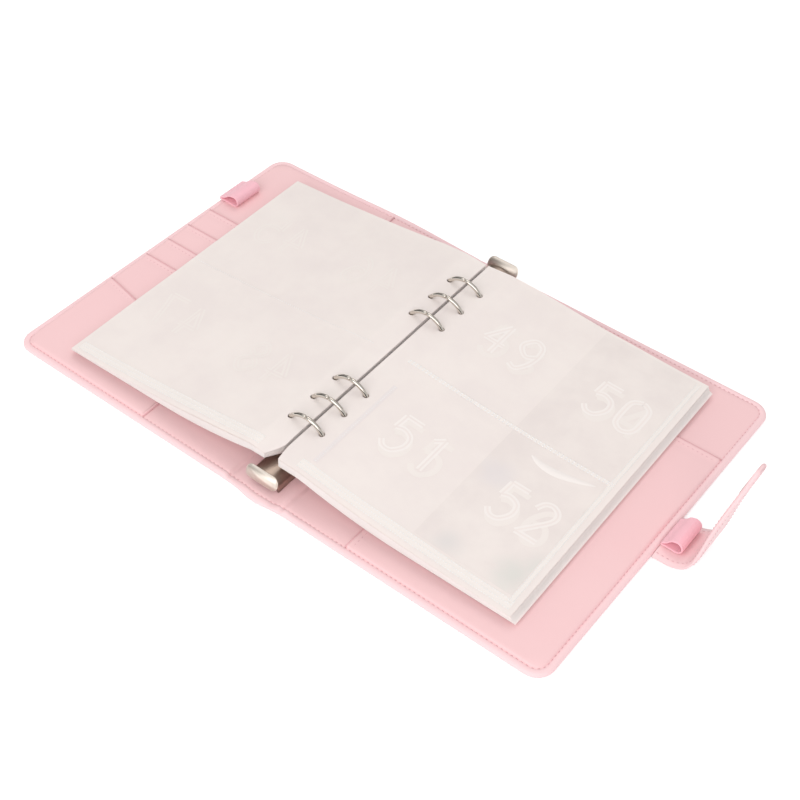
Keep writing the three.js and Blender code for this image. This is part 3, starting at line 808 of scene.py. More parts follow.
def build_strap():
    """The closing strap: two skins sewn together, standing up from the back cover's edge."""
    root_x, root_z = STRAP_ROOT
    points = [(root_x, 0, root_z)] + [(root_x + x, 0, root_z + z) for x, z in STRAP_RISE]
    path = [Vector(point) * MM for point in smooth_path(points, 90)]
    path = [point for point in path if point.z < STRAP_HIGH.z - 0.6 * MM]
    section = [(-1 + 2 * step / 12, 1) for step in range(13)]
    section += [(1 - 2 * step / 12, -1) for step in range(13)]
    vertices, stations = [], []
    for index, point in enumerate(path):
        tangent = heading(path, index)
        normal = Vector((-tangent.z, 0, tangent.x))
        half = strap_half_width(point.z)
        for across, face in section:
            inset = (1 - abs(across)) * half
            thin = min(1, inset / (1.2 * MM)) ** 0.5
            groove = 0.25 * MM * hump(inset, 3 * MM, 0.6 * MM)
            depth = (0.35 + 0.65 * thin) * STRAP_THICKNESS / 2 - groove
            vertices.append(point + Vector((0, STRAP_Y + across * half, 0)) + normal * face * depth)
        stations.append((point, normal, half))
    strap = mesh_object("closing_strap_skin", vertices, capped(len(section), len(path)), "skin")
    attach(strap, "back_cover")
    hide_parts("closing_strap")
    low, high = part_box("closing_disc_strap")
    point, normal, half = min(stations, key=lambda station: abs(station[0].z - (low.z + high.z) / 2))
    seat = point + Vector((0, STRAP_Y, 0)) + normal * STRAP_THICKNESS / 2
    build_strap_disc(seat, normal, Vector((normal.z, 0, -normal.x)))
    for face, label in ((1, "inner"), (-1, "outer")):
        lines = []
        for side in (-1, 1):
            line = []
            for point, normal, half in stations:
                if half > 4 * MM:
                    across = Vector((0, STRAP_Y + side * (half - 3 * MM), 0))
                    line.append(point + across + normal * face * STRAP_THICKNESS * 0.46)
            lines.append(line)
        whole = lines[0] + list(reversed(lines[1]))
        seam = sewn_line(f"strap_stitching_{label}", whole, Vector((-face, 0, 0)))
        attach(seam, "back_cover")


def build_strap_disc(centre, normal, along):
    """The pressed nickel disc on the strap's inner face, with a rounded rim."""
    low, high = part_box("closing_disc_strap")
    radius = (high.y - low.y) / 2
    profile = [(1.0, -0.3 * MM), (1.0, 0.08 * MM), (0.97, 0.2 * MM), (0.9, 0.28 * MM), (0.6, 0.26 * MM)]
    vertices = []
    for share, rise in profile:
        for step in range(40):
            angle = 2 * math.pi * step / 40
            spoke = math.cos(angle) * Vector((0, 1, 0)) + math.sin(angle) * along
            vertices.append(centre + radius * share * spoke + normal * rise)
    disc = mesh_object("strap_closing_disc", vertices, capped(40, len(profile)), "housing")
    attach(disc, "back_cover")
    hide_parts("closing_disc_strap")


def build_cover_disc():
    """The disc set in the front cover keeps its solid, with a plated finish."""
    refinish("closing_disc_cover", "housing")


# Ring mechanism


def build_housing():
    """The arched housing: a strip of brushed steel with rolled rims, hollow below."""
    half = HOUSING_HIGH.x
    tall = HOUSING_HIGH.z - HOUSING_LOW.z
    outer = []
    for step in range(25):
        angle = math.pi * step / 24
        x = half * math.cos(angle)
        z = HOUSING_LOW.z + 2.4 * MM + (tall - 2.4 * MM) * math.sin(angle) ** 0.9
        outer.append((x, z))
    outer = [(half + 0.15 * MM, HOUSING_LOW.z)] + outer + [(-half - 0.15 * MM, HOUSING_LOW.z)]
    inner = [(x * 0.92, HOUSING_LOW.z + (z - HOUSING_LOW.z) * 0.9) for x, z in reversed(outer)]
    profile = outer + inner
    near_y, far_y = HOUSING_LOW.y - HOUSING_NEAR_EXTRA, HOUSING_HIGH.y + HOUSING_FAR_EXTRA
    rim = 0.3 * MM
    ys = [near_y, near_y + rim] + spread(near_y + 2 * MM, far_y - 2 * MM, 20 * MM) + [far_y - rim, far_y]
    vertices = []
    for number, y in enumerate(ys):
        shrink = 0.985 if number in (0, len(ys) - 1) else 1.0
        vertices += [(x * shrink, y, HOUSING_LOW.z + (z - HOUSING_LOW.z) * shrink) for x, z in profile]
    width = len(profile)
    faces = quads(width, len(ys), closed=True)
    for row in (0, len(ys) - 1):
        for index in range(len(outer) - 1):
            a = row * width + index
            b = row * width + width - 1 - index
            faces.append((a, a + 1, b - 1, b))
    housing = mesh_object("brushed_housing", vertices, faces, "housing")
    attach(housing, "spine")
    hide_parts("ring_housing")
    for node in ("near_rivet", "far_rivet", "left_leaf", "right_leaf"):
        refinish(node, "housing")


def build_rings():
    """Twelve ring halves of bright wire; their tips stop a hair apart at the top, a little thinner there."""
    drop = math.asin((LEAF_Z - RING_CENTRE_Z) / RING_RADIUS)
    for side, word in ((-1, "left"), (1, "right")):
        for index, y in enumerate(RING_YS, 1):
            path = []
            start = math.pi / 2 + 0.012
            end = math.pi - drop
            for step in range(41):
                angle = start + (end - start) * step / 40
                x = RING_RADIUS * math.cos(angle)
                path.append(Vector((-side * x, y, RING_CENTRE_Z + RING_RADIUS * math.sin(angle))))
            path.append(Vector((side * 10 * MM, y, LEAF_Z)))
            path.append(Vector((side * LEAF_HINGE_X, y, LEAF_Z)))
            radii = [WIRE_RADIUS] * len(path)
            radii[0] = WIRE_RADIUS * 0.82
            radii[1] = WIRE_RADIUS * 0.97
            half = tube(f"{word}_ring_wire_{index}", path, radii, "ring", 20)
            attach(half, f"{word}_rings")
            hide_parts(f"{word}_ring_{index}")


def build_lever(name, node, body, outward):
    """A pressed lever plate with rolled edges, its shoulders and tongue inside the housing."""
    low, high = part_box(node)
    plate_y = (low.y if outward < 0 else high.y) + outward * LEVER_OUT[outward]
    low.z += LEVER_UP[outward]
    half, radius = (high.x - low.x) / 2, LEVER_RADIUS
    low_centre, high_centre = radius * 0.8, LEVER_TALL - radius
    outline = []
    steps = 8
    for centre_x, centre_z, first in (
        (half - radius, low_centre, -90), (half - radius, high_centre, 0),
        (-half + radius, high_centre, 90), (-half + radius, low_centre, 180),
    ):
        for step in range(steps + 1):
            angle = math.radians(first + 90 * step / steps)
            reach = radius * (0.8 if first in (-90, 180) else 1)
            z = low.z + centre_z + reach * math.sin(angle)
            outline.append((centre_x + radius * math.cos(angle), z))
    made = bmesh.new()
    for depth in (0, LEVER_THICKNESS):
        plate = []
        for x, z in outline:
            y = plate_y - outward * depth + LEVER_LEAN[outward] * (z - low.z - LEVER_TALL / 2)
            plate.append(made.verts.new((x, y, z)))
        made.faces.new(plate)
    made.verts.ensure_lookup_table()
    count = len(outline)
    for index in range(count):
        after = (index + 1) % count
        corners = (index, after, count + after, count + index)
        made.faces.new([made.verts[corner] for corner in corners])
    bmesh.ops.recalc_face_normals(made, faces=made.faces)
    plates = {face for face in made.faces if len(face.verts) > 4}
    rims = [edge for edge in made.edges if len(plates.intersection(edge.link_faces)) == 1]
    bmesh.ops.bevel(made, geom=rims, offset=0.45 * MM, segments=3, affect="EDGES")
    mesh = bpy.data.meshes.new(name)
    made.to_mesh(mesh)
    made.free()
    mesh.materials.append(material("lever"))
    mesh.shade_smooth()
    lever = linked(name, mesh)
    ends = sorted((plate_y - outward * 0.6 * MM, plate_y - outward * LEVER_ARM_LENGTH))
    widths = (-LEVER_ARM_HALF_WIDTH, LEVER_ARM_HALF_WIDTH)
    heights = (low.z + 0.1 * MM, low.z + 1.0 * MM)
    corners = [(x, y, z) for z in heights for y in ends for x in widths]
    sides = [(0, 1, 3, 2), (4, 6, 7, 5), (0, 4, 5, 1), (2, 3, 7, 6), (0, 2, 6, 4), (1, 5, 7, 3)]
    arm = mesh_object(f"{name}_arm", corners, sides, "housing", smooth=False)
    for piece in (lever, arm):
        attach(piece, body)
    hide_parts(node)


# Pages


def stack_height(x, share):
    """Height of a sheet at a distance from the ring line; share is 0 for the lowest and 1 for the top."""
    if x <= STACK_ROOT_X:
        low, high = STACK_ROOT_BOTTOM, STACK_TOP
    else:
        middle = (STACK_ROOT_X + PAGE_OUTER_X) / 2
        t = min(1.2, (x - STACK_ROOT_X) / (PAGE_OUTER_X - STACK_ROOT_X))
        control = (STACK_EDGE_TOP + STACK_TOP) / 2 - 3.4 * MM
        high = STACK_TOP * (1 - t) ** 2 + 2 * t * (1 - t) * control + STACK_EDGE_TOP * t * t
        near = min(1, (x - STACK_ROOT_X) / (middle - STACK_ROOT_X))
        low = STACK_EDGE_BOTTOM + (STACK_ROOT_BOTTOM - STACK_EDGE_BOTTOM) * (1 - near) ** 2
    return low + (high - low) * share


def page_point(side, x, y, share, lift=0.0):
    """A point on a sheet, from its distance to the ring line and its place along the spine."""
    flat = Matrix.Rotation(PAGE_SKEW, 3, "Z") @ Vector((side * x, y, 0))
    if side < 0:
        curl = min(1, max(0, (-y - 84 * MM) / (18 * MM))) * min(1, max(0, (22 * MM - x) / (20 * MM)))
        lift -= 4 * MM * curl * curl * share * share
    ripple = 0.35 * MM * swell(x, y, 38 * MM, 2.0 + side) * min(1, x / (60 * MM))
    height = stack_height(x, share) + lift + ripple * share
    return Vector((flat.x, flat.y + PAGE_CENTRE_Y, height))


def wire_distance(point):
    """The nearest ring's place in a sheet: how far the point is from the wire, seen from above."""
    rise = min(max(point.z - RING_CENTRE_Z, -RING_RADIUS), RING_RADIUS * 0.99)
    wire_x = math.sqrt(RING_RADIUS ** 2 - rise ** 2)
    side = 1 if point.x > 0 else -1
    centres = [Vector((side * wire_x, y, point.z)) for y in RING_YS]
    return min(((point - centre).length, centre) for centre in centres)


def near_edge(x, share):
    """The near edge of a sheet: the upper ones reach a little over the lower ones."""
    return -PAGE_HALF_HEIGHT - share * 1.6 * MM * min(1, max(0, x) / (70 * MM))


def root_opening(side, x, y):
    """How far a sheet's inner corner is drawn back from the ring line at the near end."""
    near = min(1, max(0, (-91 * MM - y) / (11 * MM)))
    return (6.5 * MM if side < 0 else 1.6 * MM) * near ** 1.3 * max(0, 1 - x / (30 * MM))


def far_corner(x, y):
    """How far a sheet's inner corner falls short at the far end."""
    far = min(1, max(0, (y - 80 * MM) / (22 * MM)))
    return 2.8 * MM * far * far * max(0, 1 - x / (34 * MM))


def page_sheet(name, side, share, shift, turn, punched, finish, step=0.0):
    """One pocket page, gently rippled: punched where it shows, or else turned down at its lips."""
    fine = 0.9 * MM if punched else 6 * MM
    coarse = 3.5 * MM if punched else 9 * MM
    xs = spread(PAGE_INNER_X, 20 * MM, fine) + spread(20 * MM, PAGE_OUTER_X, coarse)[1:]
    xs.append(PAGE_OUTER_X + LIP)
    ys = [-PAGE_HALF_HEIGHT - LIP, -PAGE_HALF_HEIGHT]
    while ys[-1] < PAGE_HALF_HEIGHT - 0.1 * MM:
        near_ring = punched and min(abs(ys[-1] - y) for y in RING_YS) < 7 * MM
        ys.append(min(PAGE_HALF_HEIGHT, ys[-1] + (fine if near_ring else coarse)))
    vertices = []
    for y in ys:
        for x in xs:
            drawn = (PAGE_HALF_HEIGHT - y) / (2 * PAGE_HALF_HEIGHT)
            moved_y = y + drawn ** 4 * (near_edge(x, share) + PAGE_HALF_HEIGHT)
            moved_y -= (1 - drawn) ** 4 * share * 1.4 * MM + far_corner(x, y)
            moved_x = x + (shift - 1.5 * MM * share) * (x / PAGE_OUTER_X) ** 2 + root_opening(side, x, y)
            lip = y == ys[0] or x == xs[-1]
            below = step if lip and not punched else 0.0
            vertices.append(page_point(side, moved_x, moved_y + turn * (x - PAGE_INNER_X), share - below))
    faces = quads(len(xs), len(ys))
    if punched:
        hole = PUNCHED_RADIUS
        reach = fine * 0.75
        keep = []
        for index, point in enumerate(vertices):
            away, centre = wire_distance(point) if abs(point.x) < 22 * MM else (1.0, None)
            keep.append(away > hole - reach)
            if hole - reach < away < hole + reach:
                direction = Vector((point.x - centre.x, point.y - centre.y, 0)).normalized()
                vertices[index] = Vector((centre.x, centre.y, point.z)) + direction * hole
        faces = [face for face in faces if all(keep[corner] for corner in face)]
    return mesh_object(name, vertices, faces, finish)


def build_stack(side):
    """A stack of loose pocket pages, fanned a little; on the right the lowest four lie widest."""
    settings = bpy.context.scene.wallet_pages
    word = "left" if side < 0 else "right"
    count = settings.left_count if side < 0 else settings.right_count
    first = None
    for number in range(count):
        share = number / (count - 1)
        top = number >= count - 2
        fan = 1.2 * MM * noise.noise(Vector((number * 1.7, side, 4.0)))
        if side > 0 and number < 4:
            fan += (4 - number) * 0.5 * MM
        turn = 0.004 * noise.noise(Vector((number * 2.3, side, 8.0)))
        turn += -0.012 * (1 - share) if side > 0 else 0.0
        # Lower sheets take the lighter film copy, painted light on the stack's sides.
        finish = "film" if top else "lower_film_painted_light"
        fan = fan * 0.3 if top else fan
        step = min(share, 1 / (count - 1))
        sheet = page_sheet(f"{word}_page_{number + 1}", side, share, fan, turn, top, finish, step)
        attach(sheet, f"{word}_pages")
        if first is None:
            first = sheet
    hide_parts(f"{word}_pages")


def flat_line(name, side, spots, width, lift, finish, ridge):
    """A low ridge along a line on the top sheet."""
    vertices = []
    for index, (x, y) in enumerate(spots):
        x0, y0 = spots[max(index - 1, 0)]
        x1, y1 = spots[min(index + 1, len(spots) - 1)]
        across = Vector((-(y1 - y0), x1 - x0)).normalized() * width / 2
        for share, rise in ((-1, 0), (-0.5, ridge), (0.5, ridge), (1, 0)):
            vertices.append(page_point(side, x + across.x * share, y + across.y * share, 1.0, lift + rise))
    piece = mesh_object(name, vertices, quads(4, len(spots)), finish)
    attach(piece, "left_pages" if side < 0 else "right_pages")
    return piece


def joined(name, pieces):
    """Several small meshes as one piece."""
    target = pieces[0]
    made = bmesh.new()
    for piece in pieces:
        made.from_mesh(piece.data)
    made.to_mesh(target.data)
    made.free()
    target.data.shade_smooth()
    target.name = name
    for piece in pieces[1:]:
        bpy.data.objects.remove(piece)
    return target


def beaded_line(start, end, step):
    """Points along a straight line."""
    length = math.dist(start, end)
    count = max(2, round(length / step))
    across, along = end[0] - start[0], end[1] - start[1]
    return [(start[0] + across * i / count, start[1] + along * i / count) for i in range(count + 1)]


def weld_row(name, side, start, end, pitch, length, width):
    """One row of heat-pressed dots on the top sheet."""
    path = [page_point(side, x, y, 1.0, 0.12 * MM) for x, y in beaded_line(start, end, 3 * MM)]
    return stitches(name, path, UP, pitch, length, width, "weld")


def build_welds(side):
    """The pressed seams that part a page into four pockets, and the pockets' own film."""
    word = "left" if side < 0 else "right"
    low, high = -PAGE_HALF_HEIGHT + 0.5 * MM, PAGE_HALF_HEIGHT - 1.4 * MM
    outer = OUTER_SEAM_X
    fine = (1.6 * MM, 0.9 * MM, 0.28 * MM)
    lines = []
    rows = [
        ("outer_a", (outer, low + 3 * MM), (outer, high - 3 * MM), fine),
        ("outer_b", (outer - 2.2 * MM, low + 3 * MM), (outer - 2.2 * MM, high - 3 * MM), fine),
        ("foot_a", (FOOT_START_X, low + 1.9 * MM), (FOOT_END_X, low + 0.6 * MM), fine),
        ("foot_b", (FOOT_START_X, low + 4.7 * MM), (FOOT_END_X, low + 3.4 * MM), fine),
        ("foot_c", (FOOT_START_X, low + 7.3 * MM), (FOOT_END_X, low + 6.0 * MM), fine),
    ]
    if side > 0:
        bold = (2.4 * MM, 1.3 * MM, 0.5 * MM)
        rows += [
            ("mid_a", (12 * MM, 1.6 * MM), (outer, 1.6 * MM), bold),
            ("mid_b", (12 * MM, 0), (outer, 0), bold),
            ("root", (ROOT_SEAM_X, low + 10 * MM), (ROOT_SEAM_X, -20 * MM), fine),
        ]
    else:
        rows = rows[2:] + [("mid_a", (12 * MM, 0), (outer, 0), fine)]
    for name, start, end, (pitch, length, width) in rows:
        lines.append(weld_row(f"{word}_weld_{name}", side, start, end, pitch, length, width))
    bands = [("foot_band", (FOOT_START_X, low + 4.7 * MM), (FOOT_END_X, low + 3.4 * MM), 6.4 * MM)]
    if side > 0:
        bands += [
            ("root_band", (ROOT_SEAM_X, low + 10 * MM), (ROOT_SEAM_X, -20 * MM), 3 * MM),
            ("mid_band", (12 * MM, 0.8 * MM), (outer, 0.8 * MM), 2.6 * MM),
            ("outer_band", (outer - 1.1 * MM, low + 4 * MM), (outer - 1.1 * MM, high - 4 * MM), 3 * MM),
        ]
    for name, start, end, width in bands:
        tone = "seam" if name == "root_band" else "band"
        spots = beaded_line(start, end, 3 * MM)
        flat_line(f"{word}_{name}", side, spots, width, 0.1 * MM, tone, ridge=0.02 * MM)
    welds = joined(f"{word}_page_welds", lines)
    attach(welds, f"{word}_pages")
    lift = 0.08 * MM
    for label, x0, x1, y0, y1 in (
        ("upper_outer", POCKET_SEAM_X, outer - 3 * MM, 2 * MM, high - 2 * MM),
        ("lower_outer", POCKET_SEAM_X, outer - 3 * MM, low + 8.4 * MM, -1 * MM),
    ):
        xs, ys = spread(x0, x1, 4 * MM), spread(y0, y1, 4 * MM)
        vertices = []
        for y in ys:
            for x in xs:
                vertices.append(page_point(side, x, y, 1.0, lift))
        finish = "pocket" if side > 0 else "film"
        sheet = mesh_object(f"{word}_pocket_{label}", vertices, quads(len(xs), len(ys)), finish)
        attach(sheet, f"{word}_pages")


# Digits as strokes in a box one wide and two high, in a plain round style
DIGIT_STROKES = {
    "0": [[(0.5, 2), (0.93, 1.72), (1, 1), (0.93, 0.28), (0.5, 0), (0.07, 0.28), (0, 1), (0.07, 1.72),
           (0.5, 2)]],
    "1": [[(0.2, 1.65), (0.4, 1.82), (0.6, 2)], [(0.6, 2), (0.6, 1), (0.6, 0)]],
    "2": [[(0.05, 1.5), (0.25, 1.9), (0.6, 2), (0.95, 1.75), (0.95, 1.3), (0.5, 0.65), (0, 0)],
          [(0, 0), (0.5, 0), (1, 0)]],
    "3": [[(0.05, 1.7), (0.5, 2), (0.92, 1.6), (0.5, 1.1), (1, 0.6), (0.5, 0), (0, 0.3)]],
    "4": [[(0.7, 0), (0.7, 1), (0.7, 2)], [(0.7, 2), (0.35, 1.35), (0, 0.7)],
          [(0, 0.7), (0.5, 0.7), (1, 0.7)]],
    "5": [[(0.95, 2), (0.5, 2), (0.12, 2)], [(0.12, 2), (0.1, 1.6), (0.07, 1.2)],
          [(0.07, 1.2), (0.45, 1.32), (0.9, 1.1), (0.98, 0.55), (0.65, 0.05), (0.25, 0.02), (0, 0.3)]],
    "6": [[(0.85, 1.95), (0.4, 1.75), (0.05, 1.1), (0.05, 0.5), (0.4, 0), (0.85, 0.15), (0.98, 0.6),
           (0.7, 1.1), (0.2, 1)]],
    "7": [[(0, 2), (0.5, 2), (1, 2)], [(1, 2), (0.7, 1.1), (0.4, 0)]],
    "8": [[(0.5, 1.08), (0.1, 1.5), (0.5, 2), (0.9, 1.5), (0.5, 1.08), (0.05, 0.55), (0.5, 0),
           (0.95, 0.55), (0.5, 1.08)]],
    "9": [[(0.95, 1.15), (0.5, 0.9), (0.05, 1.4), (0.4, 2), (0.85, 1.85), (0.98, 1.3), (0.9, 0.6),
           (0.55, 0), (0.15, 0.1)]],
}


def build_number(side, digits, centre, finish, lift, label, cored=True):
    """A page number in broad double strokes, lying on the top sheet."""
    settings = bpy.context.scene.wallet_pages
    width, gap, tall = settings.digit_width, settings.digit_gap, settings.digit_height
    total = len(digits) * width + (len(digits) - 1) * gap
    layers = [(settings.stroke_width, 0.0, finish)]
    if cored:
        layers.append((settings.stroke_width * 0.3, 0.04 * MM, "film"))
    for index, (stroke_width, rise, tone) in enumerate(layers):
        lines = []
        for place, digit in enumerate(digits):
            left = -total / 2 + place * (width + gap)
            for number, stroke in enumerate(DIGIT_STROKES[digit]):
                path = smooth_path([(left + x * width, (y - 1) * tall / 2, 0) for x, y in stroke], 40)
                spots = [(centre[0] + point.x, centre[1] + point.y) for point in path]
                name = f"{label}_{digits}_{place}_{index}"
                height = lift + rise + number * 0.004 * MM
                lines.append(flat_line(name, side, spots, stroke_width, height, tone, ridge=0.0))
        joined(f"{label}_number_{digits}_{index}", lines)


def build_crescent():
    """The fold in the lower outer pocket, where its film bellies up: a low ridge in the lighter print tone,
    a painted highlight.
    """
    spots = smooth_path(
        [(103.8, -9.3, 0), (111, -11.6, 0), (120, -11.8, 0), (130, -9.8, 0), (143, -5.6, 0)], 30)
    vertices = []
    for index, spot in enumerate(spots):
        ahead = heading(spots, index)
        across = Vector((-ahead.y, ahead.x, 0))
        half = 2.6 * math.sin(math.pi * index / 30) ** 0.8 + 0.05
        for share in (-1, -0.5, 0, 0.5, 1):
            place = (spot + across * half * share) * MM
            rise = 0.35 * MM * (1 - share * share) * half / 2.6
            vertices.append(page_point(1, place.x, place.y, 1.0, 0.1 * MM + rise))
    # The fold takes the lighter print tone: a painted highlight.
    fold = mesh_object("right_pocket_fold_painted_highlight", vertices, quads(5, len(spots)), "print")
    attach(fold, "right_pages")


def build_page_numbers():
    """Plain numbers on the right page, on the sheet below it, and on the left page, seen from behind."""
    right = (("49", 50, 51), ("50", 122, 51), ("51", 52, -45.5), ("52", 122, -45))
    for digits, x, y in right:
        build_number(1, digits, (x * MM, y * MM), "print", 0.17 * MM, "printed")
    behind = (("53", 52, 48), ("54", 124.5, 48), ("55", 54, -48.5), ("56", 124, -48))
    for digits, x, y in behind:
        build_number(1, digits, (x * MM, y * MM), "faint", 0.12 * MM, "behind", False)
    left = (("46", 52, 50), ("45", 123, 50), ("48", 53, -48), ("47", 123, -46))
    for digits, x, y in left:
        build_number(-1, digits, (x * MM, y * MM), "faint", 0.13 * MM, "reverse")


# Stage


def build_stage():
    """Camera at the photographed view, soft lamps, a white floor and a plain white surround."""
    settings = bpy.context.scene.wallet_stage
    scene = bpy.context.scene
    scene.view_settings.view_transform = "Standard"
    turn, tilt, roll = settings.azimuth, settings.elevation, settings.roll
    back = Vector((math.sin(turn) * math.cos(tilt), -math.cos(turn) * math.cos(tilt), math.sin(tilt)))
    right = Vector((math.cos(turn), math.sin(turn), 0))
    up = back.cross(right)
    level_right = math.cos(roll) * right + math.sin(roll) * up
    level_up = math.cos(roll) * up - math.sin(roll) * right
    camera = linked("camera", bpy.data.cameras.new("camera"))
    rotation = Matrix((level_right, level_up, back)).transposed().to_4x4()
    camera.matrix_world = Matrix.Translation(Vector(settings.eye)) @ rotation
    camera.data.lens = settings.lens
    camera.data.sensor_width = 36
    camera.data.dof.use_dof = False
    camera.data.clip_end = 20
    scene.camera = camera

    def lamp(name, place, size, power, colour):
        light = linked(name, bpy.data.lights.new(name, "AREA"))
        light.data.shape = "RECTANGLE"
        light.data.size, light.data.size_y = size
        light.data.energy = power
        light.data.color = linear(colour)[:3]
        light.location = place
        light.rotation_euler = (-Vector(place)).to_track_quat("-Z", "Y").to_euler()

    lamp("key_softbox", (-0.55, 0.75, 1.35), (0.9, 0.9), settings.key_power, "#fffaf5")
    lamp("fill_softbox", (0.4, -1.3, 0.95), (1.8, 1.2), settings.fill_power, "#fffafa")

    floor = mesh_floor()
    for name, place, size in (
        ("far_dark_card", (-0.45, 1.2, 0.45), (2.6, 0.7)),
        ("near_dark_card", (0.62, -1.0, 0.22), (1.7, 0.5)),
        ("left_dark_card", (-1.3, -0.3, 0.5), (0.8, 1.4)),
    ):
        dark_card(name, place, size)
    world = bpy.data.worlds.new("white_surround")
    world.use_nodes = True
    scene.world = world
    tree = world.node_tree
    background = tree.nodes["Background"]
    path = add_node(tree, "ShaderNodeLightPath")
    rays = [(0, path.outputs["Is Camera Ray"]), (1, path.outputs["Is Transmission Ray"])]
    seen = add_node(tree, "ShaderNodeMath", rays, operation="MAXIMUM")
    strength = map_range(tree, seen.outputs[0], (0.0, 1.0, settings.surround, 1.0))
    tree.links.new(background.inputs["Strength"], strength)
    background.inputs["Color"].default_value = (1, 1, 1, 1)


def flat_plate(name, half_x, half_y, paint):
    """One flat face about its own middle."""
    corners = [(-half_x, -half_y, 0), (half_x, -half_y, 0), (half_x, half_y, 0), (-half_x, half_y, 0)]
    mesh = bpy.data.meshes.new(name)
    mesh.from_pydata(corners, [], [(0, 1, 2, 3)])
    mesh.materials.append(paint)
    return linked(name, mesh)


def dark_card(name, place, size):
    """A dark card that shows only in the metal's reflections."""
    card = flat_plate(name, size[0] / 2, size[1] / 2, card_paint())
    card.location = place
    card.rotation_euler = (-Vector(place)).to_track_quat("Z", "Y").to_euler()
    for kind in ("camera", "diffuse", "shadow", "transmission", "volume_scatter"):
        setattr(card, f"visible_{kind}", False)
    return card


def card_paint():
    """Matt warm black paint: reads as the dark bands in polished metal."""
    if "card" not in MATERIALS:
        paint = new_material("Matt black card", "#2a2320", roughness=1.0, specular_ior_level=0.0)
        MATERIALS["card"] = paint[0]
    return MATERIALS["card"]


def mesh_floor():
    """A wide white floor that keeps the wallet's soft shadow."""
    made = new_material("White studio floor", "#fbfbfb", roughness=0.9, specular_ior_level=0.1)
    paint, tree, shader = made
    path = add_node(tree, "ShaderNodeLightPath")
    rays = [(0, path.outputs["Is Camera Ray"]), (1, path.outputs["Is Glossy Ray"])]
    seen = add_node(tree, "ShaderNodeMath", rays, operation="MAXIMUM")
    glow = add_node(tree, "ShaderNodeEmission", Strength=bpy.context.scene.wallet_stage.floor_lift)
    dark = add_node(tree, "ShaderNodeEmission", Strength=0.0)
    parts = [(0, seen.outputs[0]), (1, dark.outputs[0]), (2, glow.outputs[0])]
    lifted = add_node(tree, "ShaderNodeMixShader", parts)
    both = add_node(tree, "ShaderNodeAddShader", [(0, shader.outputs[0]), (1, lifted.outputs[0])])
    tree.links.new(tree.nodes["Material Output"].inputs["Surface"], both.outputs[0])
    floor = flat_plate("floor", 6.0, 6.0, paint)
    floor.location.z = -0.2 * MM
    return floor


# Settings that a user would change


def colour_setting(name, text, value):
    """A colour, given as an sRGB hex text."""
    return bpy.props.StringProperty(name=name, description=text, default=value)


def number_setting(name, text, value, **kind):
    """A number with its unit."""
    return bpy.props.FloatProperty(name=name, description=text, default=value, **kind)


def count_setting(name, text, value):
    """A whole number of pieces."""
    return bpy.props.IntProperty(name=name, description=text, default=value)


class CoverSettings(bpy.types.PropertyGroup):
    skin: colour_setting("Skin", "Colour of the outside skin", "#fbd9db")
    skin_shade: colour_setting("Skin shade", "Deeper tone of the skin", "#f8d3d6")
    lining: colour_setting("Lining", "Colour of the inside", "#f7d0d1")
    lining_shade: colour_setting("Lining shade", "Deeper tone of the inside", "#f5cbcd")
    # Darker tone of the rolled edges at the openings: painted shade.
    crease: colour_setting("Crease", "Painted shade along slot edges", "#e9b6ba")
    elastic: colour_setting("Elastic", "Colour of the pen loops", "#fcc3ce")
    thread: colour_setting("Thread", "Colour of the stitches", "#e3b5ba")
    stitch_pitch: number_setting("Stitch pitch", "From one stitch to the next", 3 * MM, unit="LENGTH")


class MetalSettings(bpy.types.PropertyGroup):
    # The same nickel in two tones: darker for the housing (painted shade), lighter for the levers (painted
    # light).
    satin: colour_setting("Satin nickel", "Housing", "#ae9c90")
    lever: colour_setting("Lever nickel", "Levers", "#f3eadf")
    bright: colour_setting("Bright nickel", "Rings", "#d8d1c8")


class PageSettings(bpy.types.PropertyGroup):
    film: colour_setting("Film", "Frosted film", "#faf2ed")
    film_shade: colour_setting("Film shade", "Where layers touch", "#f6ede9")
    # Lighter tone of the lower sheets: painted light on the stack's sides.
    edge: colour_setting("Edge film", "Lower sheets' margins", "#fdf7f4")
    pocket: colour_setting("Pocket film", "Outer pockets", "#f8f0eb")
    pocket_shade: colour_setting("Pocket shade", "Outer pockets, deeper", "#f1e8e4")
    weld: colour_setting("Weld", "Pressed seams", "#ffffff")
    printed: colour_setting("Print", "Page numbers", "#fdf7f3")
    faint: colour_setting("Faint print", "Numbers seen through film", "#f9f2ed")
    band: colour_setting("Pressed band", "Flattened film at the seams", "#faf4ef")
    seam: colour_setting("Root seam", "Seam beside the rings", "#f3ebe9")
    left_count: count_setting("Left pages", "Sheets in the left stack", 12)
    right_count: count_setting("Right pages", "Sheets in the right stack", 13)
    digit_width: number_setting("Digit width", "Width of a digit", 13 * MM, unit="LENGTH")
    digit_height: number_setting("Digit height", "Height of a digit", 26 * MM, unit="LENGTH")
    digit_gap: number_setting("Digit gap", "Between two digits", 7 * MM, unit="LENGTH")
    stroke_width: number_setting("Stroke", "Width of a stroke", 3.6 * MM, unit="LENGTH")


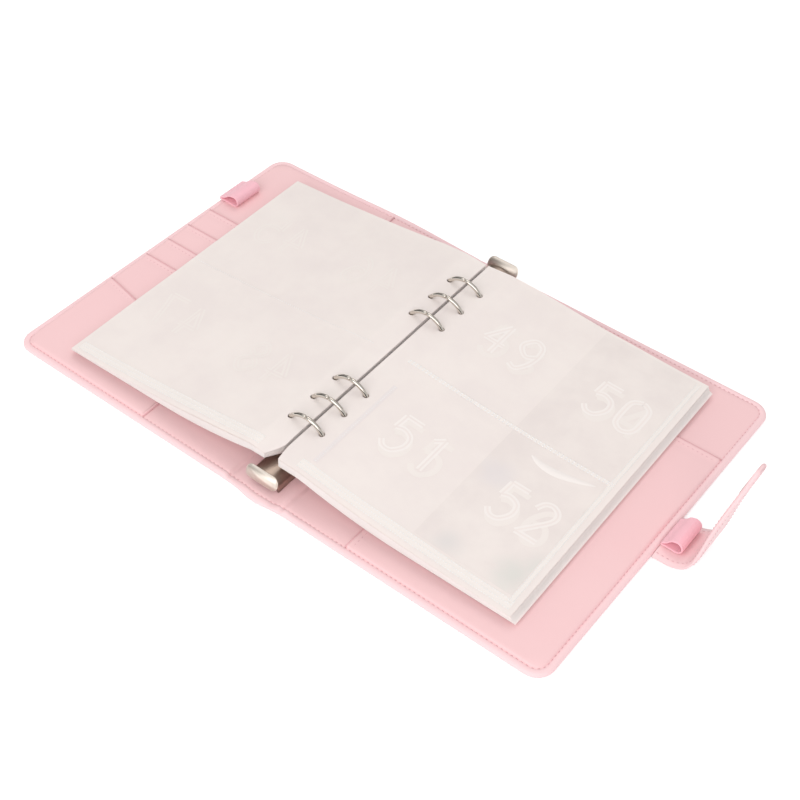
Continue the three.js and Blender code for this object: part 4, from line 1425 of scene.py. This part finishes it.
class StageSettings(bpy.types.PropertyGroup):
    azimuth: number_setting("Azimuth", "Camera's turn from the front", math.radians(36.589), subtype="ANGLE")
    elevation: number_setting("Elevation", "Camera's height angle", math.radians(45.839), subtype="ANGLE")
    roll: number_setting("Roll", "Camera's roll", math.radians(2.038), subtype="ANGLE")
    lens: number_setting("Lens", "Focal length in millimetres", 64.11, subtype="DISTANCE_CAMERA")
    eye: bpy.props.FloatVectorProperty(
        name="Eye", description="Camera's place", default=(0.3560, -0.4679, 0.5875), subtype="XYZ",
        unit="LENGTH")
    key_power: number_setting("Key", "Key lamp", 3.5, unit="POWER")
    fill_power: number_setting("Fill", "Fill lamp", 13.5, unit="POWER")
    surround: number_setting("Surround", "Light from all round", 0.7, min=0.0, subtype="FACTOR")
    floor_lift: number_setting("Floor lift", "Brings the floor to white", 0.3, min=0.0, subtype="FACTOR")


# Operators, one for each piece or group of like pieces


class WALLET_OT_cover(bpy.types.Operator):
    """Make the cover's skin, lining and border stitching"""
    bl_idname = "wallet.cover"
    bl_label = "Cover"

    def execute(self, context):
        build_cover_half("front_cover", FRONT_EDGE_X)
        build_cover_half("back_cover", BACK_EDGE_X)
        return {"FINISHED"}


class WALLET_OT_pockets(bpy.types.Operator):
    """Make the pocket panels and card slots"""
    bl_idname = "wallet.pockets"
    bl_label = "Pockets"

    def execute(self, context):
        build_left_pocket()
        build_right_pocket()
        build_card_slots()
        return {"FINISHED"}


class WALLET_OT_loops(bpy.types.Operator):
    """Make the two elastic pen loops"""
    bl_idname = "wallet.loops"
    bl_label = "Pen loops"

    def execute(self, context):
        build_pen_loop("left_elastic_loop", "pen_loop_left", "front_cover")
        build_pen_loop("right_elastic_loop", "pen_loop_right", "back_cover")
        return {"FINISHED"}


class WALLET_OT_strap(bpy.types.Operator):
    """Make the closing strap and finish its discs"""
    bl_idname = "wallet.strap"
    bl_label = "Closing strap"

    def execute(self, context):
        build_strap()
        build_cover_disc()
        return {"FINISHED"}


class WALLET_OT_mechanism(bpy.types.Operator):
    """Make the housing, rings and levers"""
    bl_idname = "wallet.mechanism"
    bl_label = "Ring mechanism"

    def execute(self, context):
        build_housing()
        build_rings()
        build_lever("near_lever_plate", "near_lever", "near_lever", -1)
        build_lever("far_lever_plate", "far_lever", "far_lever", 1)
        return {"FINISHED"}


class WALLET_OT_pages(bpy.types.Operator):
    """Make the page stacks, their welds and numbers"""
    bl_idname = "wallet.pages"
    bl_label = "Pages"

    def execute(self, context):
        for side in (-1, 1):
            build_stack(side)
            build_welds(side)
        build_page_numbers()
        build_crescent()
        return {"FINISHED"}


class WALLET_OT_stage(bpy.types.Operator):
    """Make the camera, lamps, floor and surround"""
    bl_idname = "wallet.stage"
    bl_label = "Stage"

    def execute(self, context):
        build_stage()
        return {"FINISHED"}


class WALLET_PT_panel(bpy.types.Panel):
    """Lists the wallet's pieces and settings"""
    bl_idname = "WALLET_PT_panel"
    bl_label = "Cash envelope wallet"
    bl_space_type = "VIEW_3D"
    bl_region_type = "UI"
    bl_category = "Wallet"

    def draw(self, context):
        for operator in OPERATORS:
            self.layout.operator(operator.bl_idname)
        for name in SETTINGS:
            group = getattr(context.scene, name)
            for key in group.__annotations__:
                self.layout.prop(group, key)


OPERATORS = (
    WALLET_OT_stage, WALLET_OT_cover, WALLET_OT_pockets, WALLET_OT_loops, WALLET_OT_strap,
    WALLET_OT_mechanism, WALLET_OT_pages)
SETTINGS = {
    "wallet_cover": CoverSettings, "wallet_metal": MetalSettings, "wallet_pages": PageSettings,
    "wallet_stage": StageSettings}


def register():
    for group in SETTINGS.values():
        bpy.utils.register_class(group)
    for operator in OPERATORS:
        bpy.utils.register_class(operator)
    bpy.utils.register_class(WALLET_PT_panel)
    for name, group in SETTINGS.items():
        setattr(bpy.types.Scene, name, bpy.props.PointerProperty(type=group))


def unregister():
    for name in SETTINGS:
        delattr(bpy.types.Scene, name)
    bpy.utils.unregister_class(WALLET_PT_panel)
    for operator in reversed(OPERATORS):
        bpy.utils.unregister_class(operator)
    for group in reversed(list(SETTINGS.values())):
        bpy.utils.unregister_class(group)


def main():
    register()
    bpy.ops.wallet.stage()
    bpy.ops.wallet.cover()
    bpy.ops.wallet.pockets()
    bpy.ops.wallet.loops()
    bpy.ops.wallet.strap()
    bpy.ops.wallet.mechanism()
    bpy.ops.wallet.pages()


if __name__ == "__main__":
    main()
